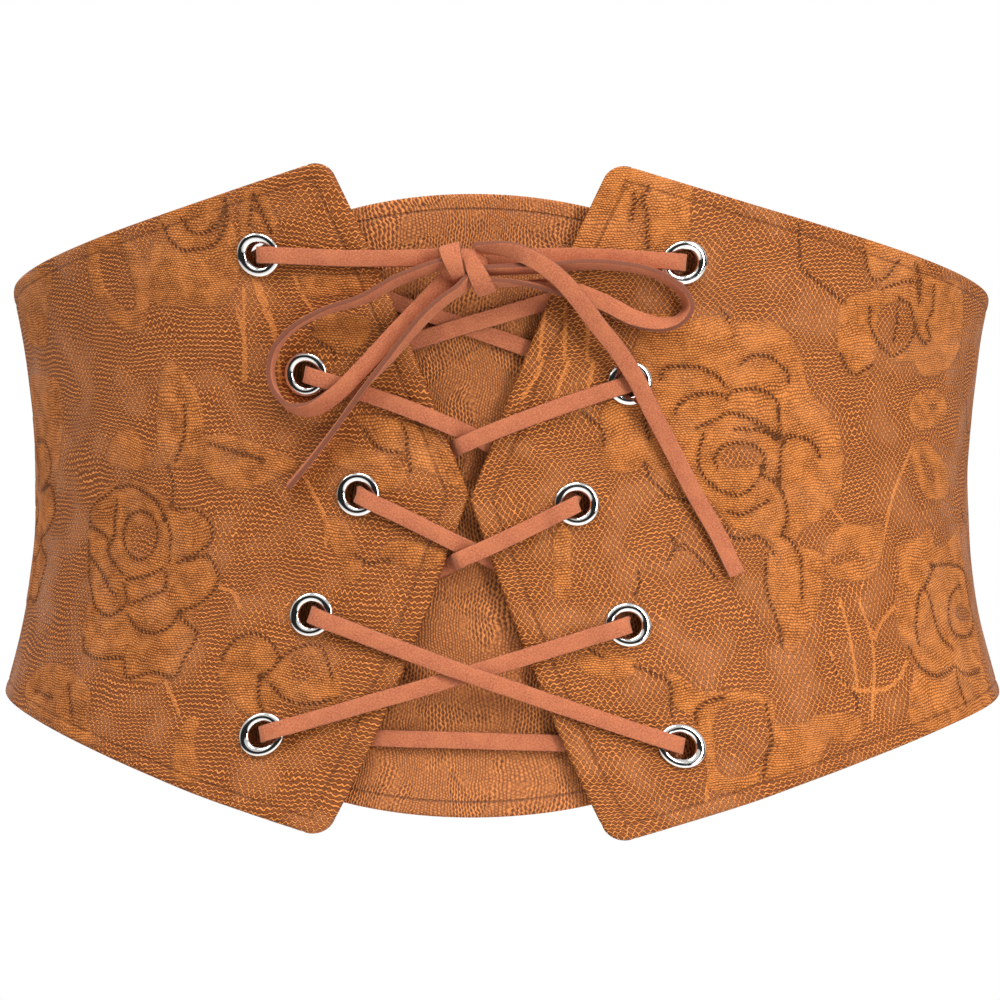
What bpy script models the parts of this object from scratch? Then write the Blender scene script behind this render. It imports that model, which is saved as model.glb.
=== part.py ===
"""A corset belt: two lace covered panels closed over a tongue by a flat suede lace, with an elastic back.

Every piece is first drawn flat, as its maker cuts it: across (arc length from the front centre, towards
+X), up (height above the waist line) and out (depth from the panels' inner face).  It is then bent round
the waist form.  Metres, +Z up, the front faces -Y, and the origin is the centre of the waist.
"""
import math

import bmesh
import bpy
import numpy as np
from mathutils import Matrix

# The waist form, measured at the panels' inner face
WAIST_HALF_WIDTH = 0.1230
WAIST_HALF_DEPTH = 0.0882
FLARE_HEIGHT = 0.085
SIDE_FLARE_UP = 0.0149
SIDE_FLARE_DOWN = 0.0222
FRONT_FLARE_UP = 0.0044
FRONT_FLARE_DOWN = 0.0079

# Cloth, lace and gaps
PANEL_WALL = 0.0020
TONGUE_WALL = 0.0016
BAND_WALL = 0.0020
PIECE_GAP = 0.0003
LACE_WIDTH = 0.0042
LACE_THICK = 0.0013

# Panel outline, each panel drawn about its own middle height
FRONT_TOP = 0.0838
FRONT_BOTTOM = 0.0852
SIDE_TOP = 0.0520
SIDE_BOTTOM = 0.0502
SEAM_ACROSS = 0.1880
MIDDLE_OPENING = 0.0002
OPENING_TOP = 0.0640
OPENING_BOTTOM = 0.0605
APEX_RADIUS = 0.0030
CORNER_RADIUS = 0.0045
LEFT_PANEL_DROP = 0.0
RIGHT_PANEL_DROP = 0.0012

# Share of the way from the front corner to the seam, and share of the fall from front to side that is left
TOP_EDGE = [
    (0.10, 0.850), (0.20, 0.708), (0.30, 0.580), (0.45, 0.408), (0.60, 0.256), (0.75, 0.124), (0.90, 0.030)]
BOTTOM_EDGE = [
    (0.10, 0.858), (0.20, 0.720), (0.30, 0.574), (0.45, 0.374), (0.60, 0.208), (0.75, 0.092), (0.90, 0.020)]

# Eyelets
EYELET_ROWS = 5
EYELET_SPACING = 0.0300
EYELET_INSET = 0.0276
EYELET_RADIUS = 0.0055
EYELET_BORE = 0.0031
BARREL_WALL = 0.0003
FLANGE_HEIGHT = 0.0009
FLANGE_ROUND = 0.0004
MOUTH_DROP = 0.0005
ROLL_RADIUS = 0.0045
ROLL_HEIGHT = 0.0005
ROLL_ROUND = 0.0002
EYELET_SIDES = 16
LEFT_ROW_DROP = -0.0002
RIGHT_ROW_DROP = 0.0022

# How far an eyelet stands across from its row's straight line, as punched by hand
EYELET_SHIFTS = {
    "left 2": -0.0014, "left 4": -0.0005, "left 5": 0.0008, "right 3": -0.0012, "right 5": -0.0007}

# Tongue behind the opening
TONGUE_HALF_WIDTH = 0.0730
TONGUE_TOP = 0.0750
TONGUE_BOTTOM = 0.0800
TONGUE_ARCH_RADIUS = 0.1180
TONGUE_STEP_START = 0.0605
TONGUE_STEP_LENGTH = 0.0060

# Elastic back
BAND_OVERLAP = 0.0120
BAND_INSET = 0.0010

# Grid that the cloth bends on
COLUMN_PITCH = 0.0075
ROW_PITCH = 0.0165

# Depths out from the panels' inner face, worked out from the walls and gaps
PANEL_FACE = PANEL_WALL
FLANGE_BASE = PANEL_FACE + PIECE_GAP
FLANGE_TOP = FLANGE_BASE + FLANGE_HEIGHT
ROLL_BASE = -PIECE_GAP
ROLL_TOP = ROLL_BASE - ROLL_HEIGHT
LACE_HALF = LACE_THICK / 2
LACE_STEP = LACE_THICK + PIECE_GAP
FRONT = PANEL_FACE + PIECE_GAP + LACE_HALF
OVER_FLANGE = FLANGE_TOP + PIECE_GAP + LACE_HALF
BEHIND = ROLL_TOP - PIECE_GAP - LACE_HALF
UNDER_PANEL = -PIECE_GAP - LACE_HALF
TONGUE_FACE = BEHIND - LACE_HALF - PIECE_GAP
EDGE_FACE = -PIECE_GAP
LACE_BEND = 0.0021
BORE_STEPS = 3
CROSSING_REACH = 1.1 * LACE_WIDTH
EDGE_MARGIN = 0.6 * LACE_THICK

# At a crossing in the opening: how far one strand passes over the other and how far that one lies under
# the front run, both in steps of one lace and its gap
OVER_STEPS = 1.15
UNDER_STEPS = 2.05

# Runs of the one lace, in order: from, to, side of the left and of the right panel, how it meets the
# strand that it crosses, and the offset of its bend in metres at a share of the run
LACE_RUNS = [
    ("right 1", "left 2", "behind", "behind", "over", 0.5, 0.0),
    ("left 2", "right 3", "front", "behind", "under", 0.62, 0.0045),
    ("right 3", "left 4", "behind", "front", "over", 0.50, -0.0018),
    ("left 4", "right 5", "front", "front", "over", 0.5, 0.0),
    ("right 5", "left 5", "behind", "behind", "alone", 0.5, 0.0),
    ("left 5", "right 4", "front", "front", "under", 0.5, 0.0),
    ("right 4", "left 3", "front", "behind", "under", 0.55, 0.0),
    ("left 3", "right 2", "behind", "front", "over", 0.5, 0.0016),
    ("right 2", "left 1", "behind", "behind", "under", 0.5, -0.0004),
]

# Which run each run crosses in the opening
CROSSINGS = {
    ("right 1", "left 2"): ("right 2", "left 1"),
    ("right 2", "left 1"): ("right 1", "left 2"),
    ("left 2", "right 3"): ("left 3", "right 2"),
    ("left 3", "right 2"): ("left 2", "right 3"),
    ("right 3", "left 4"): ("right 4", "left 3"),
    ("right 4", "left 3"): ("right 3", "left 4"),
    ("left 4", "right 5"): ("left 5", "right 4"),
    ("left 5", "right 4"): ("left 4", "right 5"),
}

# Bow, in millimetres and degrees: across, up, out and lean of the strip (0 flat, 90 on its edge)
KNOT_CENTRE = (-1.0, 56.8, 5.3)
KNOT_HALF = (5.5, 5.0, 3.1)
KNOT_BLOCKS = [(1.0, 0.5, 0.82), (0.46, 1.0, 1.0)]
TIE_LEFT = [(-39.8, 59.6, 2.95), (-27.7, 58.9, 2.95), (-15.8, 58.8, 2.95), (-6.8, 59.1, 2.95)]
TIE_RIGHT = [(38.1, 58.6, 2.95), (24.0, 59.2, 2.95), (13.6, 58.9, 2.95), (4.8, 57.9, 2.95)]
LOOP_LEFT = [
    (-7.0, 56.8, 6.1, 90), (-15.6, 53.4, 6.2, 90), (-24.6, 48.6, 6.0, 90), (-33.4, 46.0, 5.6, 88),
    (-41.6, 42.0, 5.3, 86), (-46.7, 37.0, 5.1, 84), (-48.7, 30.6, 5.0, 82), (-47.4, 25.4, 5.0, 78),
    (-43.9, 21.9, 5.1, 66), (-38.8, 21.4, 5.3, 45), (-32.4, 24.8, 5.6, 18), (-25.3, 31.5, 5.5, 6),
    (-17.6, 39.8, 4.9, 4), (-11.6, 46.2, 4.6, 2), (-5.6, 52.5, 4.7, 0),
]
LOOP_RIGHT = [
    (5.0, 55.6, 6.1, 90), (12.0, 55.9, 6.1, 90), (19.6, 56.3, 6.1, 90), (27.3, 57.0, 6.1, 88),
    (34.4, 56.7, 6.1, 86), (41.4, 55.4, 6.0, 84), (46.9, 52.9, 5.8, 84), (50.6, 49.6, 5.6, 80),
    (51.6, 46.4, 5.5, 76), (49.6, 43.4, 5.5, 66), (45.6, 42.3, 5.5, 44), (38.6, 43.9, 5.7, 16),
    (33.1, 46.8, 5.9, 8), (25.8, 50.0, 6.1, 14), (18.1, 51.9, 6.2, 50), (11.0, 52.4, 6.1, 80),
    (5.0, 52.6, 6.1, 88),
]
TAIL_LEFT = [
    (-1.6, 50.9, 7.4, 88), (-4.9, 48.4, 7.6, 86), (-8.8, 44.9, 7.6, 85), (-12.4, 40.9, 7.2, 84),
    (-18.5, 33.7, 6.5, 82),
    (-24.6, 26.9, 6.2, 78), (-31.7, 17.6, 5.6, 74), (-38.1, 9.8, 5.0, 70), (-44.8, 2.3, 4.7, 66),
]
TAIL_RIGHT = [
    (2.3, 61.0, 6.4, 66), (5.4, 61.0, 7.0, 56), (10.0, 60.4, 8.2, 36), (15.2, 58.0, 9.7, 14), (20.4, 54.0, 10.0, 8),
    (24.8, 49.1, 9.4, 10), (29.9, 42.3, 8.2, 14), (35.3, 35.6, 7.4, 14), (39.9, 28.6, 6.9, 14),
    (43.6, 21.6, 6.2, 14), (48.4, 13.0, 5.4, 12), (55.1, 0.6, 4.6, 10), (61.2, -10.0, 4.1, 6),
    (65.6, -19.6, 3.9, 4),
]

MM = 0.001
LACED_LEATHER = ("lace_over_leather", (0.47, 0.150, 0.040, 1.0), 0.55, 0.0)
RIBBED_LACE = ("ribbed_lace", (0.40, 0.135, 0.038, 1.0), 0.75, 0.0)
ELASTIC = ("back_elastic", (0.20, 0.065, 0.025, 1.0), 0.80, 0.0)
SUEDE = ("suede_lace", (0.52, 0.160, 0.075, 1.0), 0.90, 0.0)
NICKEL = ("polished_nickel", (0.74, 0.73, 0.70, 1.0), 0.18, 1.0)


def ellipse_table():
    """Arc lengths from the front centre and their angles, once round the waist at mid height."""
    angles = np.linspace(-math.pi, math.pi, 7201)
    x = WAIST_HALF_WIDTH * np.sin(angles)
    y = -WAIST_HALF_DEPTH * np.cos(angles)
    lengths = np.concatenate([[0.0], np.cumsum(np.hypot(np.diff(x), np.diff(y)))])
    return lengths - lengths[len(lengths) // 2], angles


ARC_LENGTHS, ARC_ANGLES = ellipse_table()
HALF_ROUND = float(ARC_LENGTHS[-1])


def wrap(flat):
    """Bend flat points (across, up, out) round the waist form."""
    flat = np.asarray(flat, float)
    across = (flat[:, 0] + HALF_ROUND) % (2 * HALF_ROUND) - HALF_ROUND
    angle = np.interp(across, ARC_LENGTHS, ARC_ANGLES)
    share = (flat[:, 1] / FLARE_HEIGHT) ** 2
    upper = flat[:, 1] > 0
    wide = WAIST_HALF_WIDTH + share * np.where(upper, SIDE_FLARE_UP, SIDE_FLARE_DOWN)
    deep = WAIST_HALF_DEPTH + share * np.where(upper, FRONT_FLARE_UP, FRONT_FLARE_DOWN)
    normal = np.stack([np.sin(angle) / wide, -np.cos(angle) / deep], axis=1)
    normal /= np.linalg.norm(normal, axis=1)[:, None]
    x = wide * np.sin(angle) + flat[:, 2] * normal[:, 0]
    y = -deep * np.cos(angle) + flat[:, 2] * normal[:, 1]
    return np.stack([x, y, flat[:, 1]], axis=1)


def material(finish):
    """One Principled material, made once for each finish."""
    name, colour, roughness, metallic = finish
    made = bpy.data.materials.get(name) or bpy.data.materials.new(name)
    made.use_nodes = True
    shader = made.node_tree.nodes["Principled BSDF"]
    shader.inputs["Base Color"].default_value = colour
    shader.inputs["Roughness"].default_value = roughness
    shader.inputs["Metallic"].default_value = metallic
    made.diffuse_color = colour
    return made


def place_piece(name, form, finish):
    """Turn a flat bmesh into a bent, named object whose origin is the middle of the piece."""
    bmesh.ops.triangulate(form, faces=form.faces, quad_method="BEAUTY", ngon_method="BEAUTY")
    bent = wrap([vert.co for vert in form.verts])
    middle = (bent.min(axis=0) + bent.max(axis=0)) / 2
    for vert, place in zip(form.verts, bent):
        vert.co = place - middle
    mesh = bpy.data.meshes.new(name)
    form.to_mesh(mesh)
    form.free()
    mesh.shade_smooth()
    mesh.set_sharp_from_angle(angle=math.radians(40))
    piece = bpy.data.objects.new(name, mesh)
    piece.location = middle
    piece.data.materials.append(material(finish))
    bpy.context.collection.objects.link(piece)
    return piece


def smooth_through(points, steps):
    """A centripetal Catmull-Rom curve through rows of numbers, shaped by their first three columns."""
    rows = np.asarray(points, float)
    rows = np.vstack([2 * rows[0] - rows[1], rows, 2 * rows[-1] - rows[-2]])
    knots = np.concatenate([[0.0], np.cumsum(np.linalg.norm(np.diff(rows[:, :3], axis=0), axis=1) ** 0.5)])
    curve = []
    for i in range(1, len(rows) - 2):
        t0, t1, t2, t3 = knots[i - 1:i + 3]
        for t in np.linspace(t1, t2, steps, endpoint=False):
            a = rows[i - 1] + (rows[i] - rows[i - 1]) * (t - t0) / (t1 - t0)
            b = rows[i] + (rows[i + 1] - rows[i]) * (t - t1) / (t2 - t1)
            c = rows[i + 1] + (rows[i + 2] - rows[i + 1]) * (t - t2) / (t3 - t2)
            ab = a + (b - a) * (t - t0) / (t2 - t0)
            bc = b + (c - b) * (t - t1) / (t3 - t1)
            curve.append(ab + (bc - ab) * (t - t1) / (t2 - t1))
    curve.append(rows[-2])
    return np.array(curve)


def rounded(corners, steps=5):
    """An outline whose corners (across, up, radius) are turned with arcs."""
    outline = []
    count = len(corners)
    for i, (x, y, radius) in enumerate(corners):
        here = np.array([x, y])
        before = np.array(corners[i - 1][:2]) - here
        after = np.array(corners[(i + 1) % count][:2]) - here
        before /= np.linalg.norm(before)
        after /= np.linalg.norm(after)
        half = math.acos(np.clip(before @ after, -1, 1)) / 2
        if radius == 0 or half > math.radians(88):
            outline.append(here)
            continue
        bisector = (before + after) / np.linalg.norm(before + after)
        centre = here + bisector * radius / math.sin(half)
        start = here + before * radius / math.tan(half) - centre
        turn = math.pi - 2 * half
        if start[0] * bisector[1] - start[1] * bisector[0] > 0:
            turn = -turn
        for k in range(steps + 1):
            angle = turn * k / steps
            outline.append(centre + [
                start[0] * math.cos(angle) - start[1] * math.sin(angle),
                start[0] * math.sin(angle) + start[1] * math.cos(angle),
            ])
    return outline


def half_opening(up):
    """Distance from the front centre to a panel's inner edge, at a height above its own middle."""
    edge = OPENING_TOP if up > 0 else OPENING_BOTTOM
    tall = FRONT_TOP if up > 0 else FRONT_BOTTOM
    return (MIDDLE_OPENING + (edge - MIDDLE_OPENING) * abs(up) / tall) / 2


def edge_points(table, corner_across, front, side):
    """Points of a panel's top or bottom edge, from near the front corner to near the seam."""
    along = [corner_across + share * (SEAM_ACROSS - corner_across) for share, _ in table]
    height = [side + left * (front - side) for _, left in table]
    rows = [(a, h, 0.0) for a, h in zip(along, height)]
    return smooth_through(rows, 2)[:, :2]


def panel_outline():
    """The right panel's flat outline about its own middle height, front corner first."""
    top, bottom = half_opening(FRONT_TOP), half_opening(-FRONT_BOTTOM)
    corners = [(MIDDLE_OPENING / 2, 0.0, APEX_RADIUS), (top, FRONT_TOP, CORNER_RADIUS)]
    corners += [(a, h, 0.0) for a, h in edge_points(TOP_EDGE, top, FRONT_TOP, SIDE_TOP)]
    corners += [(SEAM_ACROSS, SIDE_TOP, 0.0), (SEAM_ACROSS, -SIDE_BOTTOM, 0.0)]
    lower = edge_points(BOTTOM_EDGE, bottom, -FRONT_BOTTOM, -SIDE_BOTTOM)
    corners += [(a, h, 0.0) for a, h in lower[::-1]]
    corners += [(bottom, -FRONT_BOTTOM, CORNER_RADIUS)]
    return np.array(rounded(corners))[::-1]


def tongue_outline():
    """The tongue's flat outline: two arcs, and sides that the panels hide."""
    outline = []
    half = math.asin(TONGUE_HALF_WIDTH / TONGUE_ARCH_RADIUS)
    for sign, tall in ((1, TONGUE_TOP), (-1, TONGUE_BOTTOM)):
        for k in range(25):
            angle = sign * half * (1 - k / 12)
            drop = TONGUE_ARCH_RADIUS * (1 - math.cos(angle))
            outline.append((TONGUE_ARCH_RADIUS * math.sin(angle), sign * (tall - drop)))
    return np.array(outline)


def slab(low, high, inner, outer):
    """A flat sheet of cloth between two corners, cut into the grid that it bends on."""
    columns = max(2, math.ceil((high[0] - low[0]) / COLUMN_PITCH))
    rows = max(2, math.ceil((high[1] - low[1]) / ROW_PITCH))
    form = bmesh.new()
    bmesh.ops.create_grid(form, x_segments=columns, y_segments=rows, size=0.5)
    for vert in form.verts:
        vert.co.x = low[0] + (vert.co.x + 0.5) * (high[0] - low[0])
        vert.co.y = low[1] + (vert.co.y + 0.5) * (high[1] - low[1])
        vert.co.z = inner
    bmesh.ops.reverse_faces(form, faces=form.faces)
    raised = bmesh.ops.extrude_face_region(form, geom=form.faces[:], use_keep_orig=True)
    for item in raised["geom"]:
        if isinstance(item, bmesh.types.BMVert):
            item.co.z = outer
    bmesh.ops.recalc_face_normals(form, faces=form.faces)
    return form


def prism(outline, inner, outer):
    """A straight block over a flat outline."""
    form = bmesh.new()
    base = form.faces.new([form.verts.new((x, y, inner)) for x, y in outline])
    raised = bmesh.ops.extrude_face_region(form, geom=[base], use_keep_orig=True)
    for item in raised["geom"]:
        if isinstance(item, bmesh.types.BMVert):
            item.co.z = outer
    bmesh.ops.recalc_face_normals(form, faces=form.faces)
    return form


def flat_object(name, form):
    """A scratch object for a flat form."""
    mesh = bpy.data.meshes.new(name)
    form.to_mesh(mesh)
    form.free()
    scratch = bpy.data.objects.new(name, mesh)
    scratch.hide_render = True
    scratch.display_type = "WIRE"
    bpy.context.collection.objects.link(scratch)
    return scratch


def cut_sheet(outline, inner, outer, holes=()):
    """The gridded sheet inside an outline, with round holes (across, up, radius), as a flat bmesh."""
    low, high = outline.min(axis=0), outline.max(axis=0)
    spare = (outer - inner) * 2
    sheet = flat_object("sheet", slab(low - spare, high + spare, inner, outer))
    cutters = [("INTERSECT", flat_object("outline", prism(outline, inner - spare, outer + spare)))]
    for across, up, radius in holes:
        punch = bmesh.new()
        place = Matrix.Translation((across, up, (inner + outer) / 2))
        bmesh.ops.create_cone(
            punch, cap_ends=True, segments=EYELET_SIDES, radius1=radius, radius2=radius,
            depth=outer - inner + 2 * spare, matrix=place)
        cutters.append(("DIFFERENCE", flat_object("punch", punch)))
    for operation, cutter in cutters:
        cut = sheet.modifiers.new(operation, "BOOLEAN")
        cut.operation = operation
        cut.solver = "EXACT"
        cut.object = cutter
    graph = bpy.context.evaluated_depsgraph_get()
    form = bmesh.new()
    form.from_mesh(sheet.evaluated_get(graph).to_mesh())
    for scratch in [sheet] + [cutter for _, cutter in cutters]:
        bpy.data.objects.remove(scratch, do_unlink=True)
    return form


def mirrored(form):
    """The flat form turned over to the other side of the front centre."""
    for vert in form.verts:
        vert.co.x = -vert.co.x
    bmesh.ops.reverse_faces(form, faces=form.faces)
    return form


def eyelet_place(name):
    """Across and up of an eyelet such as 'left 1', which is the top one."""
    side, number = name.split()
    up = EYELET_SPACING * ((EYELET_ROWS + 1) / 2 - int(number))
    across = half_opening(up) + EYELET_INSET
    shift = EYELET_SHIFTS.get(name, 0.0)
    if side == "left":
        return np.array([shift - across, up - LEFT_ROW_DROP])
    return np.array([shift + across, up - RIGHT_ROW_DROP])


def build_panel(side):
    """One front panel, with a punched hole for each eyelet."""
    drop = LEFT_PANEL_DROP if side == "left" else RIGHT_PANEL_DROP
    holes = []
    for number in range(1, EYELET_ROWS + 1):
        across, up = eyelet_place(f"{side} {number}")
        radius = (EYELET_BORE + BARREL_WALL + PIECE_GAP) / math.cos(math.pi / EYELET_SIDES)
        holes.append((abs(across), up + drop, radius))
    form = cut_sheet(panel_outline(), 0.0, PANEL_FACE, holes)
    if side == "left":
        mirrored(form)
    bmesh.ops.translate(form, verts=form.verts, vec=(0, -drop, 0))
    return place_piece(f"front_panel_{side}", form, LACED_LEATHER)


def build_tongue():
    """The tongue, which steps out to the panels' lining beyond the lace."""
    form = cut_sheet(tongue_outline(), TONGUE_FACE - TONGUE_WALL, TONGUE_FACE)
    for vert in form.verts:
        share = min(1.0, max(0.0, (abs(vert.co.x) - TONGUE_STEP_START) / TONGUE_STEP_LENGTH))
        vert.co.z += (EDGE_FACE - TONGUE_FACE) * share * share * (3 - 2 * share)
    return place_piece("modesty_panel", form, RIBBED_LACE)


def build_back_band():
    """The elastic back, tucked under both panels' back edges."""
    start = SEAM_ACROSS - BAND_OVERLAP
    low = (start, BAND_INSET - SIDE_BOTTOM - LEFT_PANEL_DROP)
    high = (2 * HALF_ROUND - start, SIDE_TOP - BAND_INSET - RIGHT_PANEL_DROP)
    form = slab(low, high, EDGE_FACE - BAND_WALL, EDGE_FACE)
    return place_piece("back_band", form, ELASTIC)


def build_eyelet(side, number):
    """A turned eyelet: domed flange in front, barrel through the panel and a rolled back."""
    tube = EYELET_BORE + BARREL_WALL
    crest = (EYELET_BORE + EYELET_RADIUS) / 2
    profile = [
        (tube, FLANGE_BASE), (EYELET_RADIUS, FLANGE_BASE),
        (EYELET_RADIUS - FLANGE_ROUND, FLANGE_TOP - FLANGE_ROUND),
        (crest, FLANGE_TOP), (EYELET_BORE, FLANGE_TOP - MOUTH_DROP), (EYELET_BORE, ROLL_BASE),
        (tube + ROLL_ROUND, ROLL_TOP), (ROLL_RADIUS, ROLL_BASE - ROLL_ROUND), (tube, ROLL_BASE),
    ]
    form = bmesh.new()
    ring = [form.verts.new((radius, 0.0, out)) for radius, out in profile]
    edges = [form.edges.new((a, b)) for a, b in zip(ring, ring[1:] + ring[:1])]
    bmesh.ops.spin(
        form, geom=ring + edges, cent=(0, 0, 0), axis=(0, 0, 1), angle=2 * math.pi,
        steps=EYELET_SIDES, use_merge=True)
    bmesh.ops.remove_doubles(form, verts=form.verts, dist=1e-6)
    bmesh.ops.recalc_face_normals(form, faces=form.faces)
    across, up = eyelet_place(f"{side} {number}")
    bmesh.ops.translate(form, verts=form.verts, vec=(across, up, 0))
    return place_piece(f"eyelet_{side}_{number}", form, NICKEL)


def strip(path, sideways):
    """A flat strip of lace along a path, with its width along the sideways directions."""
    path = np.asarray(path, float)
    tangent = np.gradient(path, axis=0)
    tangent /= np.linalg.norm(tangent, axis=1)[:, None]
    sideways = sideways - tangent * np.sum(sideways * tangent, axis=1)[:, None]
    sideways /= np.linalg.norm(sideways, axis=1)[:, None]
    upward = np.cross(tangent, sideways)
    form = bmesh.new()
    rings = []
    for place, side, out in zip(path, sideways * LACE_WIDTH / 2, upward * LACE_HALF):
        corners = (place - side - out, place + side - out, place + side + out, place - side + out)
        rings.append([form.verts.new(corner) for corner in corners])
    for ring, following in zip(rings, rings[1:]):
        for k in range(4):
            form.faces.new((ring[k], ring[(k + 1) % 4], following[(k + 1) % 4], following[k]))
    form.faces.new(rings[0][::-1])
    form.faces.new(rings[-1])
    return form


def run_line(run):
    """A run's points across and up, from eyelet to eyelet, bent at its own share."""
    start, end, _, _, _, share, bend = run
    a, b = eyelet_place(start), eyelet_place(end)
    along = np.linspace(0, 1, 401)
    line = a + (b - a) * along[:, None]
    bow = np.where(along < share, along / share, (1 - along) / (1 - share))
    line[:, 1] += bend * np.sin(bow * math.pi / 2)
    return line


def panel_meeting(line, side):
    """Lengths along a line at which the lace has wholly left a panel, and at which it first meets one."""
    drop = LEFT_PANEL_DROP if side == "left" else RIGHT_PANEL_DROP
    sign = -1 if side == "left" else 1
    heading = np.gradient(line, axis=0)
    heading /= np.linalg.norm(heading, axis=1)[:, None]
    normal = np.stack([-heading[:, 1], heading[:, 0]], axis=1)
    lengths = line_lengths(line)
    leaves, meets = [], []
    for offset in (-LACE_WIDTH / 2, 0.0, LACE_WIDTH / 2):
        corner = line + normal * offset
        clear = [sign * x < half_opening(y + drop) for x, y in corner]
        leaves.append(lengths[clear].min())
        meets.append(lengths[clear].max())
    return max(leaves), min(meets)


def line_lengths(line):
    """Length from a line's start to each of its points."""
    return np.concatenate([[0.0], np.cumsum(np.linalg.norm(np.diff(line, axis=0), axis=1))])


def crossing(line, other):
    """Length along a line at which it crosses another."""
    gaps = np.linalg.norm(line[:, None, :] - other[None, :, :], axis=2)
    nearest = np.unravel_index(gaps.argmin(), gaps.shape)[0]
    return line_lengths(line)[nearest]


def opening_spots(run, line):
    """Lengths along a run between which the lace is clear of both panels, with a margin to bend in."""
    leaves = panel_meeting(line, run[0].split()[0])[0]
    joins = panel_meeting(line, run[1].split()[0])[1]
    return leaves + EDGE_MARGIN, joins - EDGE_MARGIN


def run_faces(run):
    """The faces, front or behind, on which a run starts and ends."""
    faces = {"left": run[2], "right": run[3]}
    return faces[run[0].split()[0]], faces[run[1].split()[0]]


def under_near(run, line, middle):
    """Length and depth of an under strand at the last corner that the over strand covers."""
    leaves, joins = opening_spots(run, line)
    if run_faces(run)[0] == "front":
        spot = middle - CROSSING_REACH
        room = spot - leaves
    else:
        spot = middle + CROSSING_REACH
        room = joins - spot
    return spot, max(FRONT - max(room, 0.0), FRONT - UNDER_STEPS * LACE_STEP)


def run_depths(run, line):
    """Pairs of length along a run and depth, where the lace passes from one panel to the other."""
    first, last = run_faces(run)
    edge = {"front": FRONT, "behind": BEHIND if first == last else UNDER_PANEL}
    leaves, joins = opening_spots(run, line)
    depths = [(leaves, edge[first]), (joins, edge[last])]
    meets = run[4]
    if meets == "alone":
        return depths
    partner = next(other for other in LACE_RUNS if other[:2] == CROSSINGS[run[:2]])
    partner_line = run_line(partner)
    middle = crossing(line, partner_line)
    if first == last:
        level = edge[first] + (LACE_STEP if meets == "over" else 0.0)
        return depths + [(middle - CROSSING_REACH, level), (middle + CROSSING_REACH, level)]
    if meets == "over":
        away = CROSSING_REACH if first == "front" else -CROSSING_REACH
        below = under_near(partner, partner_line, crossing(partner_line, line))[1]
        return depths + [(middle + away, below + OVER_STEPS * LACE_STEP)]
    depths.append(under_near(run, line, middle))
    if leaves < middle < joins:
        depths.append((middle, FRONT - UNDER_STEPS * LACE_STEP))
    return depths


def run_path(run):
    """A run's points (across, up, out) from just outside one eyelet's bend to just outside the other's."""
    line = run_line(run)
    lengths = line_lengths(line)
    length = lengths[-1]
    stops = run_depths(run, line)
    for face, at in zip(run_faces(run), (0.0, length)):
        inward = 1 if at == 0.0 else -1
        if face == "front":
            near = EYELET_RADIUS + PIECE_GAP
            stops += [(at + inward * LACE_BEND, OVER_FLANGE), (at + inward * near, OVER_FLANGE)]
            stops += [(at + inward * (near + 2 * LACE_STEP), FRONT)]
        else:
            stops += [(at + inward * LACE_BEND, BEHIND), (at + inward * (ROLL_RADIUS + LACE_STEP), BEHIND)]
    stops = np.array(sorted(stops))
    even = np.arange(LACE_BEND, length - LACE_BEND, COLUMN_PITCH)
    far = [spot for spot in even if np.abs(stops[:, 0] - spot).min() > LACE_STEP]
    spots = np.unique(np.concatenate([stops[:, 0], far]))
    out = np.interp(spots, stops[:, 0], stops[:, 1])
    across = np.interp(spots, lengths, line[:, 0])
    up = np.interp(spots, lengths, line[:, 1])
    return np.stack([across, up, out], axis=1)


def tie_path(points, eyelet):
    """A strand from an eyelet over its panel to the knot."""
    place = eyelet_place(eyelet)
    rows = np.array(points) * MM
    heading = rows[0, :2] - place
    heading /= np.linalg.norm(heading)
    near = EYELET_RADIUS + PIECE_GAP
    start = [(*(place + heading * LACE_BEND), OVER_FLANGE), (*(place + heading * near), OVER_FLANGE)]
    start += [(*(place + heading * (near + 2 * LACE_STEP)), FRONT)]
    return np.vstack([start, smooth_through(rows, 2)])


def level_sides(path, last=None):
    """Level directions square to a path's heading, turned so that none is against the one before."""
    heading = np.gradient(path[:, :2], axis=0)
    heading /= np.linalg.norm(heading, axis=1)[:, None]
    sides = np.stack([-heading[:, 1], heading[:, 0], np.zeros(len(path))], axis=1)
    return -sides if last is not None and sides[0] @ last < 0 else sides


def hole_bend(place, end):
    """Points that turn the lace from a run's end down into an eyelet's bore."""
    inward = 1 if end[2] > 0 else -1
    bend = []
    for angle in (math.pi / 6, math.pi / 3, math.pi / 2):
        out = end[2] - inward * LACE_BEND * (1 - math.cos(angle))
        bend.append((*(place + (end[:2] - place) * (1 - math.sin(angle))), out))
    return np.array(bend)


def lace_path():
    """The whole lace and its sideways directions: a tie, every run with its turns in the eyelets, a tie."""
    pieces = [tie_path(TIE_RIGHT, "right 1")[::-1]]
    pieces += [run_path(run) for run in LACE_RUNS]
    pieces += [tie_path(TIE_LEFT, "left 1")]
    stops = [run[0] for run in LACE_RUNS] + [LACE_RUNS[-1][1]]
    path = [pieces[0]]
    sides = [level_sides(pieces[0])]
    for name, before, after in zip(stops, pieces, pieces[1:]):
        place = eyelet_place(name)
        into, out = hole_bend(place, before[-1]), hole_bend(place, after[0])[::-1]
        old = sides[-1][-1]
        following = level_sides(after, old)
        shares = np.linspace(0, 1, BORE_STEPS + 2)[1:-1, None]
        path += [into, into[-1] + (out[0] - into[-1]) * shares, out, after]
        sides += [np.tile(old, (3, 1)), old + (following[0] - old) * shares]
        sides += [np.tile(following[0], (3, 1)), following]
    return np.vstack(path), np.vstack(sides)


def build_lacing():
    """The lace from knot to knot as one strip."""
    path, sides = lace_path()
    return place_piece("lacing", strip(path, sides), SUEDE)


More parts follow.
